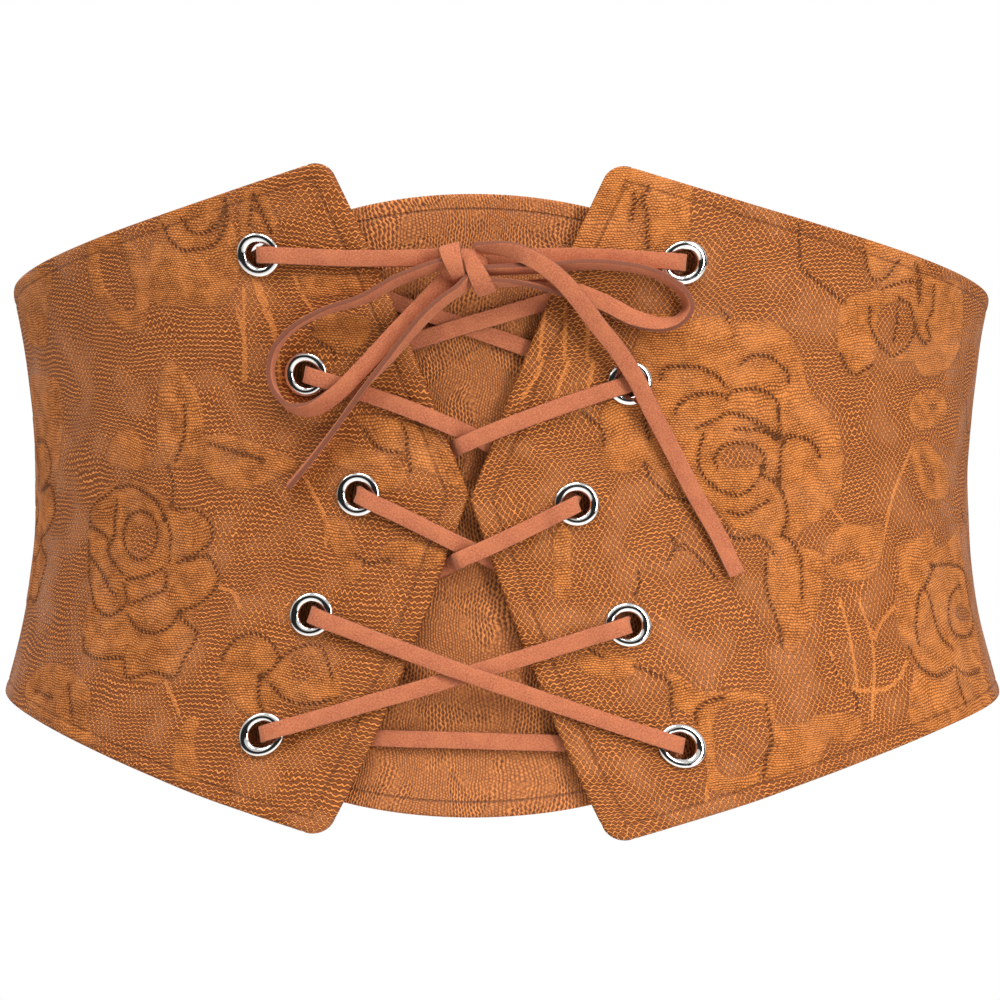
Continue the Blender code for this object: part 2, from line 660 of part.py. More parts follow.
def build_bow_strip(name, table, steps=2):
    """A loop or tail of the bow through its chosen points."""
    rows = smooth_through(np.array(table) * (MM, MM, MM, 1.0), steps)
    path, lean = rows[:, :3], np.radians(rows[:, 3])
    heading = np.gradient(path, axis=0)
    level = np.stack([-heading[:, 1], heading[:, 0], np.zeros(len(path))], axis=1)
    level /= np.linalg.norm(level, axis=1)[:, None]
    sideways = level * np.cos(lean)[:, None] + np.array([0.0, 0.0, 1.0]) * np.sin(lean)[:, None]
    return place_piece(name, strip(path, sideways), SUEDE)


def build_knot():
    """The tied knot, with one turn of the lace round its middle."""
    centre = np.array(KNOT_CENTRE) * MM
    blocks = []
    for share in KNOT_BLOCKS:
        block = bmesh.new()
        bmesh.ops.create_cube(block, size=2.0)
        bmesh.ops.scale(block, verts=block.verts, vec=np.array(KNOT_HALF) * MM * share)
        bmesh.ops.bevel(
            block, geom=block.edges[:] + block.verts[:], offset=LACE_THICK, segments=2, profile=0.5,
            affect="EDGES")
        bmesh.ops.translate(block, verts=block.verts, vec=centre)
        blocks.append(flat_object("knot block", block))
    join = blocks[0].modifiers.new("turn", "BOOLEAN")
    join.operation = "UNION"
    join.solver = "EXACT"
    join.object = blocks[1]
    graph = bpy.context.evaluated_depsgraph_get()
    form = bmesh.new()
    form.from_mesh(blocks[0].evaluated_get(graph).to_mesh())
    for block in blocks:
        bpy.data.objects.remove(block, do_unlink=True)
    return place_piece("bow_knot", form, SUEDE)


def main():
    for old in list(bpy.data.objects):
        bpy.data.objects.remove(old, do_unlink=True)
    build_tongue()
    build_back_band()
    for side in ("left", "right"):
        build_panel(side)
        for number in range(1, EYELET_ROWS + 1):
            build_eyelet(side, number)
    build_lacing()
    build_knot()
    build_bow_strip("bow_loop_left", LOOP_LEFT)
    build_bow_strip("bow_loop_right", LOOP_RIGHT)
    build_bow_strip("lace_tail_left", TAIL_LEFT)
    build_bow_strip("lace_tail_right", TAIL_RIGHT)


main()
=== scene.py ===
# %% [markdown]
# A lace corset belt.  Two leather panels covered with floral lace close in front over a tongue of ribbed
# lace, drawn together by one flat suede lace that ends in a bow.  The back is wide elastic.  The packed
# model gives every place and size, and this script gives each piece its fine shape and its finish.

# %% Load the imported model
import math

import bpy
import numpy as np
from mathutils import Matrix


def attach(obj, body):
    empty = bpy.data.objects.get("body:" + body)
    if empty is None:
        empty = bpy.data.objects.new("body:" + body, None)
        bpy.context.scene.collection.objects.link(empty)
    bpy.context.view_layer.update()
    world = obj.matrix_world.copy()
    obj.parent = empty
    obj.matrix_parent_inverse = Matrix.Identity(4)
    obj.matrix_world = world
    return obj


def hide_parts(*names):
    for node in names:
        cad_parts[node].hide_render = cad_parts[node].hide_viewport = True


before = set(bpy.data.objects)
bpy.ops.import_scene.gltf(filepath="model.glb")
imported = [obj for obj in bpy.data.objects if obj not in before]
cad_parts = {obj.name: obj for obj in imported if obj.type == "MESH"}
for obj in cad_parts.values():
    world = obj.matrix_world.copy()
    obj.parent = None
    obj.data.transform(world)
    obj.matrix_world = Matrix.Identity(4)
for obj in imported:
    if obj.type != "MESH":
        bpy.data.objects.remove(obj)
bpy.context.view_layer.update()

# %% [markdown]
# The camera stands level with the belt and a little to its right, with a long lens, so that the waist
# looks nearly as flat as in a shop picture.

# %% Camera
CAMERA_AZIMUTH = math.radians(4.9)
CAMERA_DISTANCE = 1.2

camera = bpy.data.objects.new("camera", bpy.data.cameras.new("camera"))
camera.location = (
    CAMERA_DISTANCE * math.sin(CAMERA_AZIMUTH), -CAMERA_DISTANCE * math.cos(CAMERA_AZIMUTH), -0.0012)
camera.rotation_euler = (math.radians(90), 0, CAMERA_AZIMUTH)
camera.data.lens = 160.85
camera.data.sensor_width = 36
camera.data.dof.use_dof = False
bpy.context.scene.collection.objects.link(camera)
bpy.context.scene.camera = camera

# %% [markdown]
# A belt is cut flat and then bent round a waist, and this script works in the same way.  A flat place is
# across (along the waist from the middle of the front), up, and out (depth from the panels' inner face).
# One function bends such places round the waist form, so that lace patterns can be drawn on flat cloth.

# %% The waist form
MM = 0.001
WAIST_HALF_WIDTH = 0.1230
WAIST_HALF_DEPTH = 0.0882
FLARE_HEIGHT = 0.085
SIDE_FLARE = (0.0149, 0.0222)
FRONT_FLARE = (0.0044, 0.0079)

angles = np.linspace(-math.pi, math.pi, 7201)
steps = np.hypot(np.diff(WAIST_HALF_WIDTH * np.sin(angles)), np.diff(WAIST_HALF_DEPTH * np.cos(angles)))
ARC_LENGTHS = np.concatenate([[0.0], np.cumsum(steps)])
ARC_LENGTHS -= ARC_LENGTHS[3600]
HALF_ROUND = float(ARC_LENGTHS[-1])


def wrap(flat):
    """Bend flat places (across, up, out) round the waist form."""
    flat = np.asarray(flat, float)
    across = (flat[:, 0] + HALF_ROUND) % (2 * HALF_ROUND) - HALF_ROUND
    angle = np.interp(across, ARC_LENGTHS, angles)
    share = (flat[:, 1] / FLARE_HEIGHT) ** 2
    upper = flat[:, 1] > 0
    wide = WAIST_HALF_WIDTH + share * np.where(upper, *SIDE_FLARE)
    deep = WAIST_HALF_DEPTH + share * np.where(upper, *FRONT_FLARE)
    normal = np.stack([np.sin(angle) / wide, -np.cos(angle) / deep], axis=1)
    normal /= np.linalg.norm(normal, axis=1)[:, None]
    x = wide * np.sin(angle) + flat[:, 2] * normal[:, 0]
    y = -deep * np.cos(angle) + flat[:, 2] * normal[:, 1]
    return np.stack([x, y, flat[:, 1]], axis=1)


print("waist:", round(2 * HALF_ROUND * 1000), "mm round")

# %% [markdown]
# The lace is one flat strip of suede, 4.2 mm wide.  It runs from the knot through each eyelet in turn and
# back to the knot.  Its route is a table of flat places in millimetres, one row for each run between two
# eyelets, and short bends are added where it turns down into a hole.

# %% The lace's route
LACE_WIDTH = 0.0042
LACE_THICK = 0.0013
LACE_BEND = 0.0021
FRONT_TOP, FRONT_BOTTOM = 83.8, -85.2
OPENING_TOP, OPENING_BOTTOM = 63.8, 60.3
PANEL_GAP = 0.2
EYELET_SPACING = 30.0
EYELET_INSET = 27.6
EYELET_LIFT = {"left": 0.2, "right": -2.2}
EYELET_SHIFTS = {"left 2": -1.4, "left 4": -0.5, "left 5": 0.8, "right 3": -1.2, "right 5": -0.7}
RUNS = [
    ("", "right 1", [
        (4.8, 57.9, 2.95), (9.2, 58.4, 2.95), (13.6, 58.9, 2.95), (18.6, 59.1, 2.95), (24.0, 59.2, 2.95),
        (30.9, 59.0, 2.95), (38.1, 58.6, 2.95), (41.6, 58.4, 2.95), (44.8, 58.2, 4.15),
        (48.4, 57.9, 4.15)]),
    ("right 1", "left 2", [
        (48.5, 57.2, -1.75), (44.7, 56.0, -1.75), (41.4, 55.0, -1.75), (34.2, 52.8, -1.75),
        (27.0, 50.7, -1.75), (19.8, 48.5, -1.75), (16.6, 47.5, -1.75), (12.6, 46.3, -1.29),
        (5.5, 44.1, -0.44), (3.1, 43.4, -0.15), (-1.7, 42.0, -0.15), (-5.8, 40.7, -0.15),
        (-8.9, 39.8, -0.79), (-13.6, 38.4, -1.75), (-16.1, 37.6, -1.75), (-23.2, 35.4, -1.75),
        (-30.4, 33.3, -1.75), (-34.7, 32.0, -1.75), (-38.5, 30.8, -1.75)]),
    ("left 2", "right 3", [
        (-38.5, 29.6, 4.15), (-35.0, 28.5, 4.15), (-31.9, 27.5, 2.95), (-24.3, 24.9, 2.95),
        (-17.2, 22.4, 2.95), (-10.2, 19.6, 2.95), (-4.5, 17.2, 2.95), (-2.1, 16.1, 0.40),
        (2.0, 14.1, -0.33), (4.2, 13.0, -0.95), (9.9, 9.7, -1.20), (16.1, 5.5, -1.49), (21.6, 1.5, -1.75),
        (24.8, -0.9, -1.75)]),
    ("right 3", "left 4", [
        (24.6, -3.2, 4.15), (21.3, -4.8, 4.15), (18.5, -6.3, 2.95), (11.2, -9.9, 2.95), (3.4, -13.6, 2.95),
        (-2.4, -16.2, 3.94), (-3.8, -16.8, -0.95), (-9.3, -19.1, -1.10), (-16.3, -21.9, -1.29),
        (-23.3, -24.5, -1.49), (-30.4, -26.9, -1.68), (-33.0, -27.9, -1.75), (-36.8, -29.1, -1.75)]),
    ("left 4", "right 5", [
        (-36.8, -30.5, 4.15), (-33.4, -31.8, 4.15), (-30.4, -32.9, 2.95), (-22.8, -35.8, 2.95),
        (-15.8, -38.4, 2.95), (-13.1, -39.4, 2.95), (-8.7, -41.0, 3.71), (-4.0, -42.8, 4.55),
        (-1.7, -43.6, 4.55), (4.7, -46.0, 4.55), (12.4, -48.8, 3.37), (15.1, -49.9, 2.95),
        (19.4, -51.5, 2.95), (26.4, -54.1, 2.95), (33.4, -56.7, 2.95), (39.8, -59.1, 2.95),
        (42.8, -60.2, 4.15), (46.3, -61.5, 4.15)]),
    ("right 5", "left 5", [
        (46.1, -62.1, -1.75), (42.1, -62.0, -1.75), (38.6, -62.0, -1.75), (31.1, -61.8, -1.75),
        (23.6, -61.6, -1.75), (19.7, -61.5, -1.75), (16.1, -61.4, -1.75), (8.6, -61.2, -1.75),
        (1.1, -61.0, -1.75), (-6.4, -60.8, -1.75), (-13.8, -60.7, -1.75), (-19.9, -60.5, -1.75),
        (-28.8, -60.3, -1.75), (-36.3, -60.1, -1.75), (-42.0, -60.0, -1.75), (-43.8, -59.9, -1.75),
        (-46.0, -59.9, -1.75)]),
    ("left 5", "right 4", [
        (-46.1, -59.2, 4.15), (-42.6, -58.0, 4.15), (-39.6, -57.1, 2.95), (-31.8, -54.6, 2.95),
        (-24.7, -52.3, 2.95), (-17.6, -50.0, 2.95), (-15.4, -49.4, 2.95), (-10.4, -47.8, 2.95),
        (-4.1, -45.7, 2.95), (4.7, -42.9, 2.95), (11.0, -40.9, 2.95), (12.9, -40.3, 2.95),
        (18.2, -38.6, 2.95), (25.3, -36.4, 2.95), (29.7, -34.9, 2.95), (32.8, -34.0, 4.15),
        (36.3, -32.8, 4.15)]),
    ("right 4", "left 3", [
        (36.4, -31.3, -1.75), (32.8, -29.5, -1.75), (29.7, -28.0, -1.67), (23.0, -24.7, -1.49),
        (16.2, -21.4, -1.31), (9.5, -18.1, -1.13), (2.6, -14.7, -0.95), (1.8, -14.3, -0.33),
        (-2.3, -12.3, 2.10), (-3.1, -11.9, 2.95), (-10.7, -8.1, 2.95), (-17.4, -4.8, 2.95),
        (-19.6, -3.8, 2.95), (-22.5, -2.4, 4.15), (-24.2, -1.5, 4.15), (-25.8, -0.7, 4.15)]),
    ("left 3", "right 2", [
        (-25.8, 1.1, -1.75), (-22.2, 2.9, -1.75), (-19.1, 4.4, -1.62), (-12.3, 7.6, -1.33),
        (-5.5, 10.8, -1.04), (-3.4, 11.7, -0.95), (-2.2, 12.2, 2.24), (1.4, 13.8, 2.65), (4.0, 14.9, 2.95),
        (8.3, 16.7, 2.95), (15.3, 19.4, 2.95), (22.3, 22.0, 2.95), (30.6, 24.9, 2.95), (33.6, 25.9, 4.15),
        (37.1, 27.1, 4.15)]),
    ("right 2", "left 1", [
        (37.1, 28.5, -1.75), (33.4, 29.8, -1.75), (30.1, 31.0, -1.75), (23.0, 33.4, -1.75),
        (15.9, 35.9, -1.75), (13.5, 36.7, -1.75), (8.8, 38.4, -1.75), (2.9, 40.5, -1.75),
        (-5.8, 43.6, -1.75), (-12.4, 46.0, -1.75), (-16.0, 47.3, -1.75), (-19.4, 48.6, -1.75),
        (-26.4, 51.2, -1.75), (-33.5, 53.8, -1.75), (-40.5, 56.4, -1.75), (-44.8, 58.1, -1.75),
        (-48.6, 59.5, -1.75)]),
    ("left 1", "", [
        (-48.4, 60.1, 4.15), (-44.7, 59.9, 4.15), (-41.6, 59.7, 2.95), (-39.8, 59.6, 2.95),
        (-33.7, 59.2, 2.95), (-27.7, 58.9, 2.95), (-21.6, 58.8, 2.95), (-15.8, 58.8, 2.95),
        (-11.2, 58.9, 2.95), (-6.8, 59.1, 2.95)]),
]


def half_opening(up):
    """Half the width of the gap between the panels' straight inner edges, in millimetres."""
    slope = np.where(up > 0, OPENING_TOP / FRONT_TOP, -OPENING_BOTTOM / FRONT_BOTTOM)
    return (PANEL_GAP + slope * np.abs(up)) / 2


def eyelet_place(name):
    """Across and up of an eyelet such as 'left 1', which is the top one, in metres."""
    side, number = name.split()
    up = EYELET_SPACING * (3 - int(number))
    across = float(half_opening(up)) + EYELET_INSET
    shift = EYELET_SHIFTS.get(name, 0.0)
    return np.array([shift + (-across if side == "left" else across), up + EYELET_LIFT[side]]) * MM


def level_sides(path, last=None):
    """Level directions square to a path, turned so that they follow on from the one before."""
    heading = np.gradient(path[:, :2], axis=0)
    heading /= np.linalg.norm(heading, axis=1)[:, None]
    sides = np.stack([-heading[:, 1], heading[:, 0], np.zeros(len(path))], axis=1)
    return -sides if last is not None and sides[0] @ last < 0 else sides


def hole_bend(place, end):
    """Places that turn the lace from the end of a run down into a hole."""
    inward = 1 if end[2] > 0 else -1
    bend = []
    for turn in (math.pi / 6, math.pi / 3, math.pi / 2):
        out = end[2] - inward * LACE_BEND * (1 - math.cos(turn))
        bend.append((*(place + (end[:2] - place) * (1 - math.sin(turn))), out))
    return np.array(bend)


def lace_route():
    """The lace's middle line and its sideways directions, from knot to knot."""
    path = [np.array(RUNS[0][2]) * MM]
    sides = [level_sides(path[0])]
    for (_, name, _), (_, _, table) in zip(RUNS, RUNS[1:]):
        after = np.array(table) * MM
        place = eyelet_place(name)
        into, out = hole_bend(place, path[-1][-1]), hole_bend(place, after[0])[::-1]
        old = sides[-1][-1]
        following = level_sides(after, old)
        shares = np.linspace(0, 1, 5)[1:-1, None]
        path += [into, into[-1] + (out[0] - into[-1]) * shares, out, after]
        between = old + (following[0] - old) * shares
        sides += [np.tile(old, (3, 1)), between, np.tile(following[0], (3, 1)), following]
    return np.vstack(path), np.vstack(sides)


def resampled(path, values, pitch, rounds):
    """The path and what goes with it at even steps, with its corners eased by averaging."""
    lengths = np.concatenate([[0.0], np.cumsum(np.linalg.norm(np.diff(path, axis=0), axis=1))])
    spots = np.linspace(0, lengths[-1], max(3, int(lengths[-1] / pitch)))
    rows = np.stack([np.interp(spots, lengths, column) for column in np.hstack([path, values]).T], axis=1)
    for _ in range(rounds):
        rows[1:-1] = (rows[:-2] + 2 * rows[1:-1] + rows[2:]) / 4
    return rows[:, :3], rows[:, 3:]


lace_path, lace_sides = resampled(*lace_route(), pitch=0.0007, rounds=3)
print("lace through the eyelets:", round(np.linalg.norm(np.diff(lace_path, axis=0), axis=1).sum(), 3), "m")

# %% [markdown]
# A strip of suede has two soft faces and two cut edges.  Its section is a rectangle with slightly rounded
# corners, carried along the route.  A hand-made sweep is used here instead of a curve, because the strip
# has to lie flat, lean or stand on its edge at chosen places.  The map of the strip runs along its length,
# and an attribute marks the cut edges, which the finish makes darker.

# %% Suede strips
CORNER = 0.00022


def strip_section():
    """Points round the section: shares of half its width and thickness, and nearness to a cut edge."""
    near = 1 - 0.3 * CORNER / (LACE_WIDTH / 2)
    flat = 1 - CORNER / (LACE_WIDTH / 2)
    low = 1 - CORNER / (LACE_THICK / 2)
    high = 1 - 0.3 * CORNER / (LACE_THICK / 2)
    corner = [(1.0, low, 1.0), (near, high, 0.6), (flat, 1.0, 0.0)]
    section = corner + [(0.0, 1.0, 0.0)] + [(-x, y, e) for x, y, e in corner[::-1]]
    return section + [(-x, -y, e) for x, y, e in section]


def select_only(piece):
    """Make one object the only selected and active one."""
    bpy.ops.object.select_all(action="DESELECT")
    piece.select_set(True)
    bpy.context.view_layer.objects.active = piece


def add_mesh(name, points, faces, smooth_angle):
    """A mesh object from points and faces, shaded smooth up to an angle."""
    mesh = bpy.data.meshes.new(name)
    mesh.from_pydata([tuple(p) for p in points], [], faces)
    made = bpy.data.objects.new(name, mesh)
    bpy.context.scene.collection.objects.link(made)
    select_only(made)
    bpy.ops.object.shade_smooth_by_angle(angle=math.radians(smooth_angle))
    return made


def point_attribute(piece, name, values):
    """Store one number or one vector for each point of a piece."""
    values = np.asarray(values, np.float32)
    kind, key = ("FLOAT", "value") if values.ndim == 1 else ("FLOAT_VECTOR", "vector")
    piece.data.attributes.new(name, kind, "POINT").data.foreach_set(key, values.ravel())


def map_by_points(piece, name, places):
    """A UV map that gives each corner of each face its point's own place."""
    corners = np.empty(len(piece.data.loops), np.int32)
    piece.data.loops.foreach_get("vertex_index", corners)
    layer = piece.data.uv_layers.new(name=name)
    layer.data.foreach_set("uv", np.asarray(places, np.float32)[corners].ravel())


def suede_strip(name, path, sideways, widths=1.0):
    """A strip of suede along a flat path, with its width along the sideways directions."""
    tangent = np.gradient(path, axis=0)
    tangent /= np.linalg.norm(tangent, axis=1)[:, None]
    sideways = sideways - tangent * np.sum(sideways * tangent, axis=1)[:, None]
    sideways /= np.linalg.norm(sideways, axis=1)[:, None]
    upward = np.cross(tangent, sideways)
    sideways = sideways * np.broadcast_to(widths, len(path))[:, None] * LACE_WIDTH / 2
    upward = upward * LACE_THICK / 2
    section = strip_section()
    rings = np.stack([path + sideways * x + upward * y for x, y, _ in section], axis=1)
    rings = np.concatenate([path[:1, None] + (rings[:1] - path[:1, None]) * 0.8, rings,
                            path[-1:, None] + (rings[-1:] - path[-1:, None]) * 0.8])
    rings[0] -= tangent[0] * CORNER
    rings[-1] += tangent[-1] * CORNER
    count, around = rings.shape[:2]
    faces = [tuple(range(around))[::-1], tuple((count - 1) * around + k for k in range(around))]
    for i in range(count - 1):
        for k in range(around):
            j = (k + 1) % around
            faces.append((i * around + k, i * around + j, (i + 1) * around + j, (i + 1) * around + k))
    strip = add_mesh(name, wrap(rings.reshape(-1, 3)), faces, smooth_angle=50)
    point_attribute(strip, "cut_edge", np.tile([e for _, _, e in section], count))
    along = np.concatenate([[0.0], np.cumsum(np.linalg.norm(np.diff(rings.mean(axis=1), axis=0), axis=1))])
    girth = np.array([x * LACE_WIDTH / 2 for x, _, _ in section])
    map_by_points(strip, "along", np.stack([np.repeat(along, around), np.tile(girth, count)], axis=1))
    return strip


lacing = suede_strip("lacing_strip", lace_path, lace_sides)
print("lacing:", len(lacing.data.polygons), "faces")

# %% [markdown]
# The bow's loops and tails hang on the front.  Each is a table of flat places with a lean in degrees: 0
# lies flat, 90 stands on its edge, and past 90 the strip shows its other face.  A smooth curve goes through
# the places, and the lean changes smoothly with it.  Each strip starts inside the knot's core.

# %% The bow's strips
LOOP_LEFT = [
    (-3.4, 57.8, 5.9, 114), (-7.0, 56.8, 6.1, 114), (-15.6, 53.4, 6.2, 112), (-24.6, 48.6, 6.0, 106),
    (-33.4, 46.0, 5.6, 96),
    (-41.6, 42.0, 5.3, 86), (-46.7, 37.0, 5.1, 84), (-48.7, 30.6, 5.0, 82), (-47.4, 25.4, 5.0, 78),
    (-43.9, 21.9, 5.1, 66), (-38.8, 21.4, 5.3, 45), (-32.4, 24.8, 5.6, 18), (-25.3, 31.5, 5.5, 6),
    (-17.6, 39.8, 4.9, 4), (-11.6, 46.2, 4.6, 2), (-5.6, 52.5, 4.7, 0), (-2.2, 55.4, 4.9, 0),
]
LOOP_RIGHT = [
    (2.0, 55.6, 6.0, 68), (5.0, 55.6, 6.1, 68), (12.0, 55.9, 6.1, 66), (19.6, 56.3, 6.1, 66),
    (27.3, 57.0, 6.1, 68), (34.4, 56.7, 6.1, 72), (41.4, 55.4, 6.0, 76), (46.9, 52.9, 5.8, 80),
    (50.6, 49.6, 5.6, 80),
    (51.6, 46.4, 5.5, 76), (49.6, 43.4, 5.5, 66), (45.6, 42.3, 5.5, 44), (38.6, 43.9, 5.7, 16),
    (33.1, 46.8, 5.9, 8), (25.8, 50.0, 6.1, 14), (18.1, 51.9, 6.2, 56), (11.0, 52.4, 6.1, 96),
    (5.0, 52.6, 6.1, 108), (2.0, 53.2, 5.9, 110),
]
TAIL_LEFT = [
    (0.6, 53.4, 6.4, 112), (-1.6, 50.9, 7.4, 112), (-4.9, 48.4, 7.6, 112), (-8.8, 44.9, 7.6, 110),
    (-12.4, 40.9, 7.2, 106), (-18.5, 33.7, 6.5, 96),
    (-24.6, 26.9, 6.2, 78), (-31.7, 17.6, 5.6, 74), (-38.1, 9.8, 5.0, 70), (-44.8, 2.3, 4.7, 66),
]
TAIL_RIGHT = [
    (2.3, 61.0, 6.4, 66), (5.4, 61.0, 7.0, 56), (10.0, 60.4, 8.2, 36), (15.2, 58.0, 9.7, 14),
    (20.4, 54.0, 10.0, 8), (24.8, 49.1, 9.4, 10), (29.9, 42.3, 8.2, 14), (35.3, 35.6, 7.4, 14),
    (39.9, 28.6, 6.9, 14),
    (43.6, 21.6, 6.2, 14), (48.4, 13.0, 5.4, 12), (55.1, 0.6, 4.6, 10), (61.2, -10.0, 4.1, 6),
    (65.6, -19.6, 3.9, 4),
]


def smooth_through(points, count):
    """A centripetal curve through rows of numbers, shaped by their first three columns."""
    rows = np.asarray(points, float)
    rows = np.vstack([2 * rows[0] - rows[1], rows, 2 * rows[-1] - rows[-2]])
    knots = np.concatenate([[0.0], np.cumsum(np.linalg.norm(np.diff(rows[:, :3], axis=0), axis=1) ** 0.5)])
    curve = []
    for i in range(1, len(rows) - 2):
        t0, t1, t2, t3 = knots[i - 1:i + 3]
        for t in np.linspace(t1, t2, count, endpoint=False):
            a = rows[i - 1] + (rows[i] - rows[i - 1]) * (t - t0) / (t1 - t0)
            b = rows[i] + (rows[i + 1] - rows[i]) * (t - t1) / (t2 - t1)
            c = rows[i + 1] + (rows[i + 2] - rows[i + 1]) * (t - t2) / (t3 - t2)
            ab = a + (b - a) * (t - t0) / (t2 - t0)
            bc = b + (c - b) * (t - t1) / (t3 - t1)
            curve.append(ab + (bc - ab) * (t - t1) / (t2 - t1))
    curve.append(rows[-2])
    return np.array(curve)


def bow_strip(name, table):
    """A loop or tail of the bow, and the length of its middle line."""
    rows = smooth_through(np.array(table) * (MM, MM, MM, 1.0), 10)
    path, lean = rows[:, :3], np.radians(rows[:, 3])
    heading = np.gradient(path, axis=0)
    level = np.stack([-heading[:, 1], heading[:, 0], np.zeros(len(path))], axis=1)
    level /= np.linalg.norm(level, axis=1)[:, None]
    sideways = level * np.cos(lean)[:, None] + np.array([0.0, 0.0, 1.0]) * np.sin(lean)[:, None]
    made = suede_strip(name, path, sideways)
    line = wrap(path)
    return made, line, float(np.linalg.norm(np.diff(line, axis=0), axis=1).sum())


loop_left, loop_left_line, loop_left_length = bow_strip("bow_loop_left_strip", LOOP_LEFT)
loop_right, loop_right_line, loop_right_length = bow_strip("bow_loop_right_strip", LOOP_RIGHT)
tail_left, tail_left_line, tail_left_length = bow_strip("lace_tail_left_strip", TAIL_LEFT)
tail_right, tail_right_line, tail_right_length = bow_strip("lace_tail_right_strip", TAIL_RIGHT)
print("loops", round(loop_left_length, 3), round(loop_right_length, 3), "m, tails",
      round(tail_left_length, 3), round(tail_right_length, 3), "m")

# %% [markdown]
# The knot is a small packed core with two turns of the lace over it.  The core starts as a cube that a
# Subdivision Surface modifier rounds, and the turns are strips that come over the front and go in behind.

# %% The knot
KNOT_CENTRE = (-0.0008, 0.0566, 0.0049)
KNOT_HALF = (0.00667, 0.00529, 0.00345)

bpy.ops.object.select_all(action="DESELECT")
bpy.ops.mesh.primitive_cube_add(size=2)
knot_core = bpy.context.object
knot_core.name = "knot_core"
rounding = knot_core.modifiers.new("rounding", "SUBSURF")
rounding.levels = rounding.render_levels = 3
bpy.ops.object.modifier_apply(modifier=rounding.name)
core = np.array([v.co for v in knot_core.data.vertices])
core = core * KNOT_HALF + KNOT_CENTRE
for vertex, place in zip(knot_core.data.vertices, wrap(core)):
    vertex.co = place
bpy.ops.object.shade_smooth()
point_attribute(knot_core, "cut_edge", np.full(len(core), 0.5))
map_by_points(knot_core, "along", core[:, :2])

WRAP_FRONT = [
    (-3.9, 61.6, 4.2), (-3.7, 60.9, 7.0), (-3.2, 58.9, 8.4), (-2.5, 56.4, 8.5), (-1.9, 54.4, 7.6),
    (-1.6, 53.2, 4.6),
]
WRAP_SIDE = [
    (0.2, 60.0, 5.2), (0.9, 58.6, 7.4), (2.0, 56.0, 8.2), (3.2, 53.2, 8.0), (4.2, 51.0, 6.8),
    (4.5, 50.2, 4.6),
]


def knot_turn(name, table, widths):
    """A turn of the lace over the knot."""
    path = smooth_through(np.array(table) * MM, 8)
    even = np.interp(np.linspace(0, 1, len(path)), np.linspace(0, 1, len(widths)), widths)
    return suede_strip(name, path, level_sides(path), even)


turn_front = knot_turn("knot_turn_front", WRAP_FRONT, (1.15, 1.15, 1.0, 0.8, 0.7))
turn_side = knot_turn("knot_turn_side", WRAP_SIDE, (0.5, 0.8, 1.05, 1.15, 1.0))

# %% [markdown]
# The lacing, the two loops, the two tails and the knot's pieces are attached to the root body, and the
# model's parts that they take the place of are hidden.  The loops and the tails hang free.

lace_pieces = [lacing, loop_left, loop_right, tail_left, tail_right, knot_core, turn_front, turn_side]
for piece, nodes in [
        (lacing, ["lacing"]), (loop_left, ["bow_loop_left"]), (loop_right, ["bow_loop_right"]),
        (tail_left, ["lace_tail_left"]), (tail_right, ["lace_tail_right"]), (knot_core, ["bow_knot"]),
        (turn_front, []), (turn_side, [])]:
    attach(piece, "root")
    if nodes:
        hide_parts(*nodes)

# %% [markdown]
# Each panel is one cut of leather with lace bonded over it.  It starts as a flat grid whose rows and
# columns are then drawn to the cut's four edges: the slanting inner edge, the curved top and bottom, and
# the seam.  A grid that follows the edges keeps the rim smooth, which a cut through a square grid doesn't.

# %% A panel's four edges
PANEL_WALL = 2.0
SEAM = 188.0
SIDE_TOP, SIDE_BOTTOM = 52.0, -50.2
TOP_EDGE = [
    (0.10, 0.850), (0.20, 0.708), (0.30, 0.580), (0.45, 0.408), (0.60, 0.256), (0.75, 0.124),
    (0.90, 0.030),
]
BOTTOM_EDGE = [
    (0.10, 0.858), (0.20, 0.720), (0.30, 0.574), (0.45, 0.374), (0.60, 0.208), (0.75, 0.092),
    (0.90, 0.020),
]
PANEL_DROP = {"left": 0.0, "right": 1.2}
POINT_RADIUS = 3.0
POINT_CENTRE = 3.296
POINT_REACH = 1.034


def inner_edge(up):
    """Across of a panel's inner edge in millimetres, with its point rounded."""
    up = np.asarray(up, float)
    arc = POINT_CENTRE - np.sqrt(np.maximum(POINT_RADIUS ** 2 - up * up, 1.0))
    return np.where(np.abs(up) < POINT_REACH, arc, half_opening(up))


def level_edge(table, front, side, share):
    """Across and up of a panel's top or bottom edge, for shares of the way from the front to the seam."""
    start = float(inner_edge(front))
    rows = [(start, front, 0.0)]
    rows += [(start + a * (SEAM - start), side + left * (front - side), 0.0) for a, left in table]
    rows += [(SEAM, side, 0.0)]
    curve = smooth_through(rows, 12)
    across = start + share * (SEAM - start)
    return np.stack([across, np.interp(across, curve[:, 0], curve[:, 1])], axis=-1)


def graded(count, length):
    """Shares from 0 to 1 with close rows at both ends, where the rim is turned."""
    close = np.array([0.0, 0.22, 0.5, 0.9, 1.4])
    middle = np.linspace(2.1, length - 2.1, count - 2 * len(close) + 1)
    return np.concatenate([close, middle, length - close[::-1]]) / length


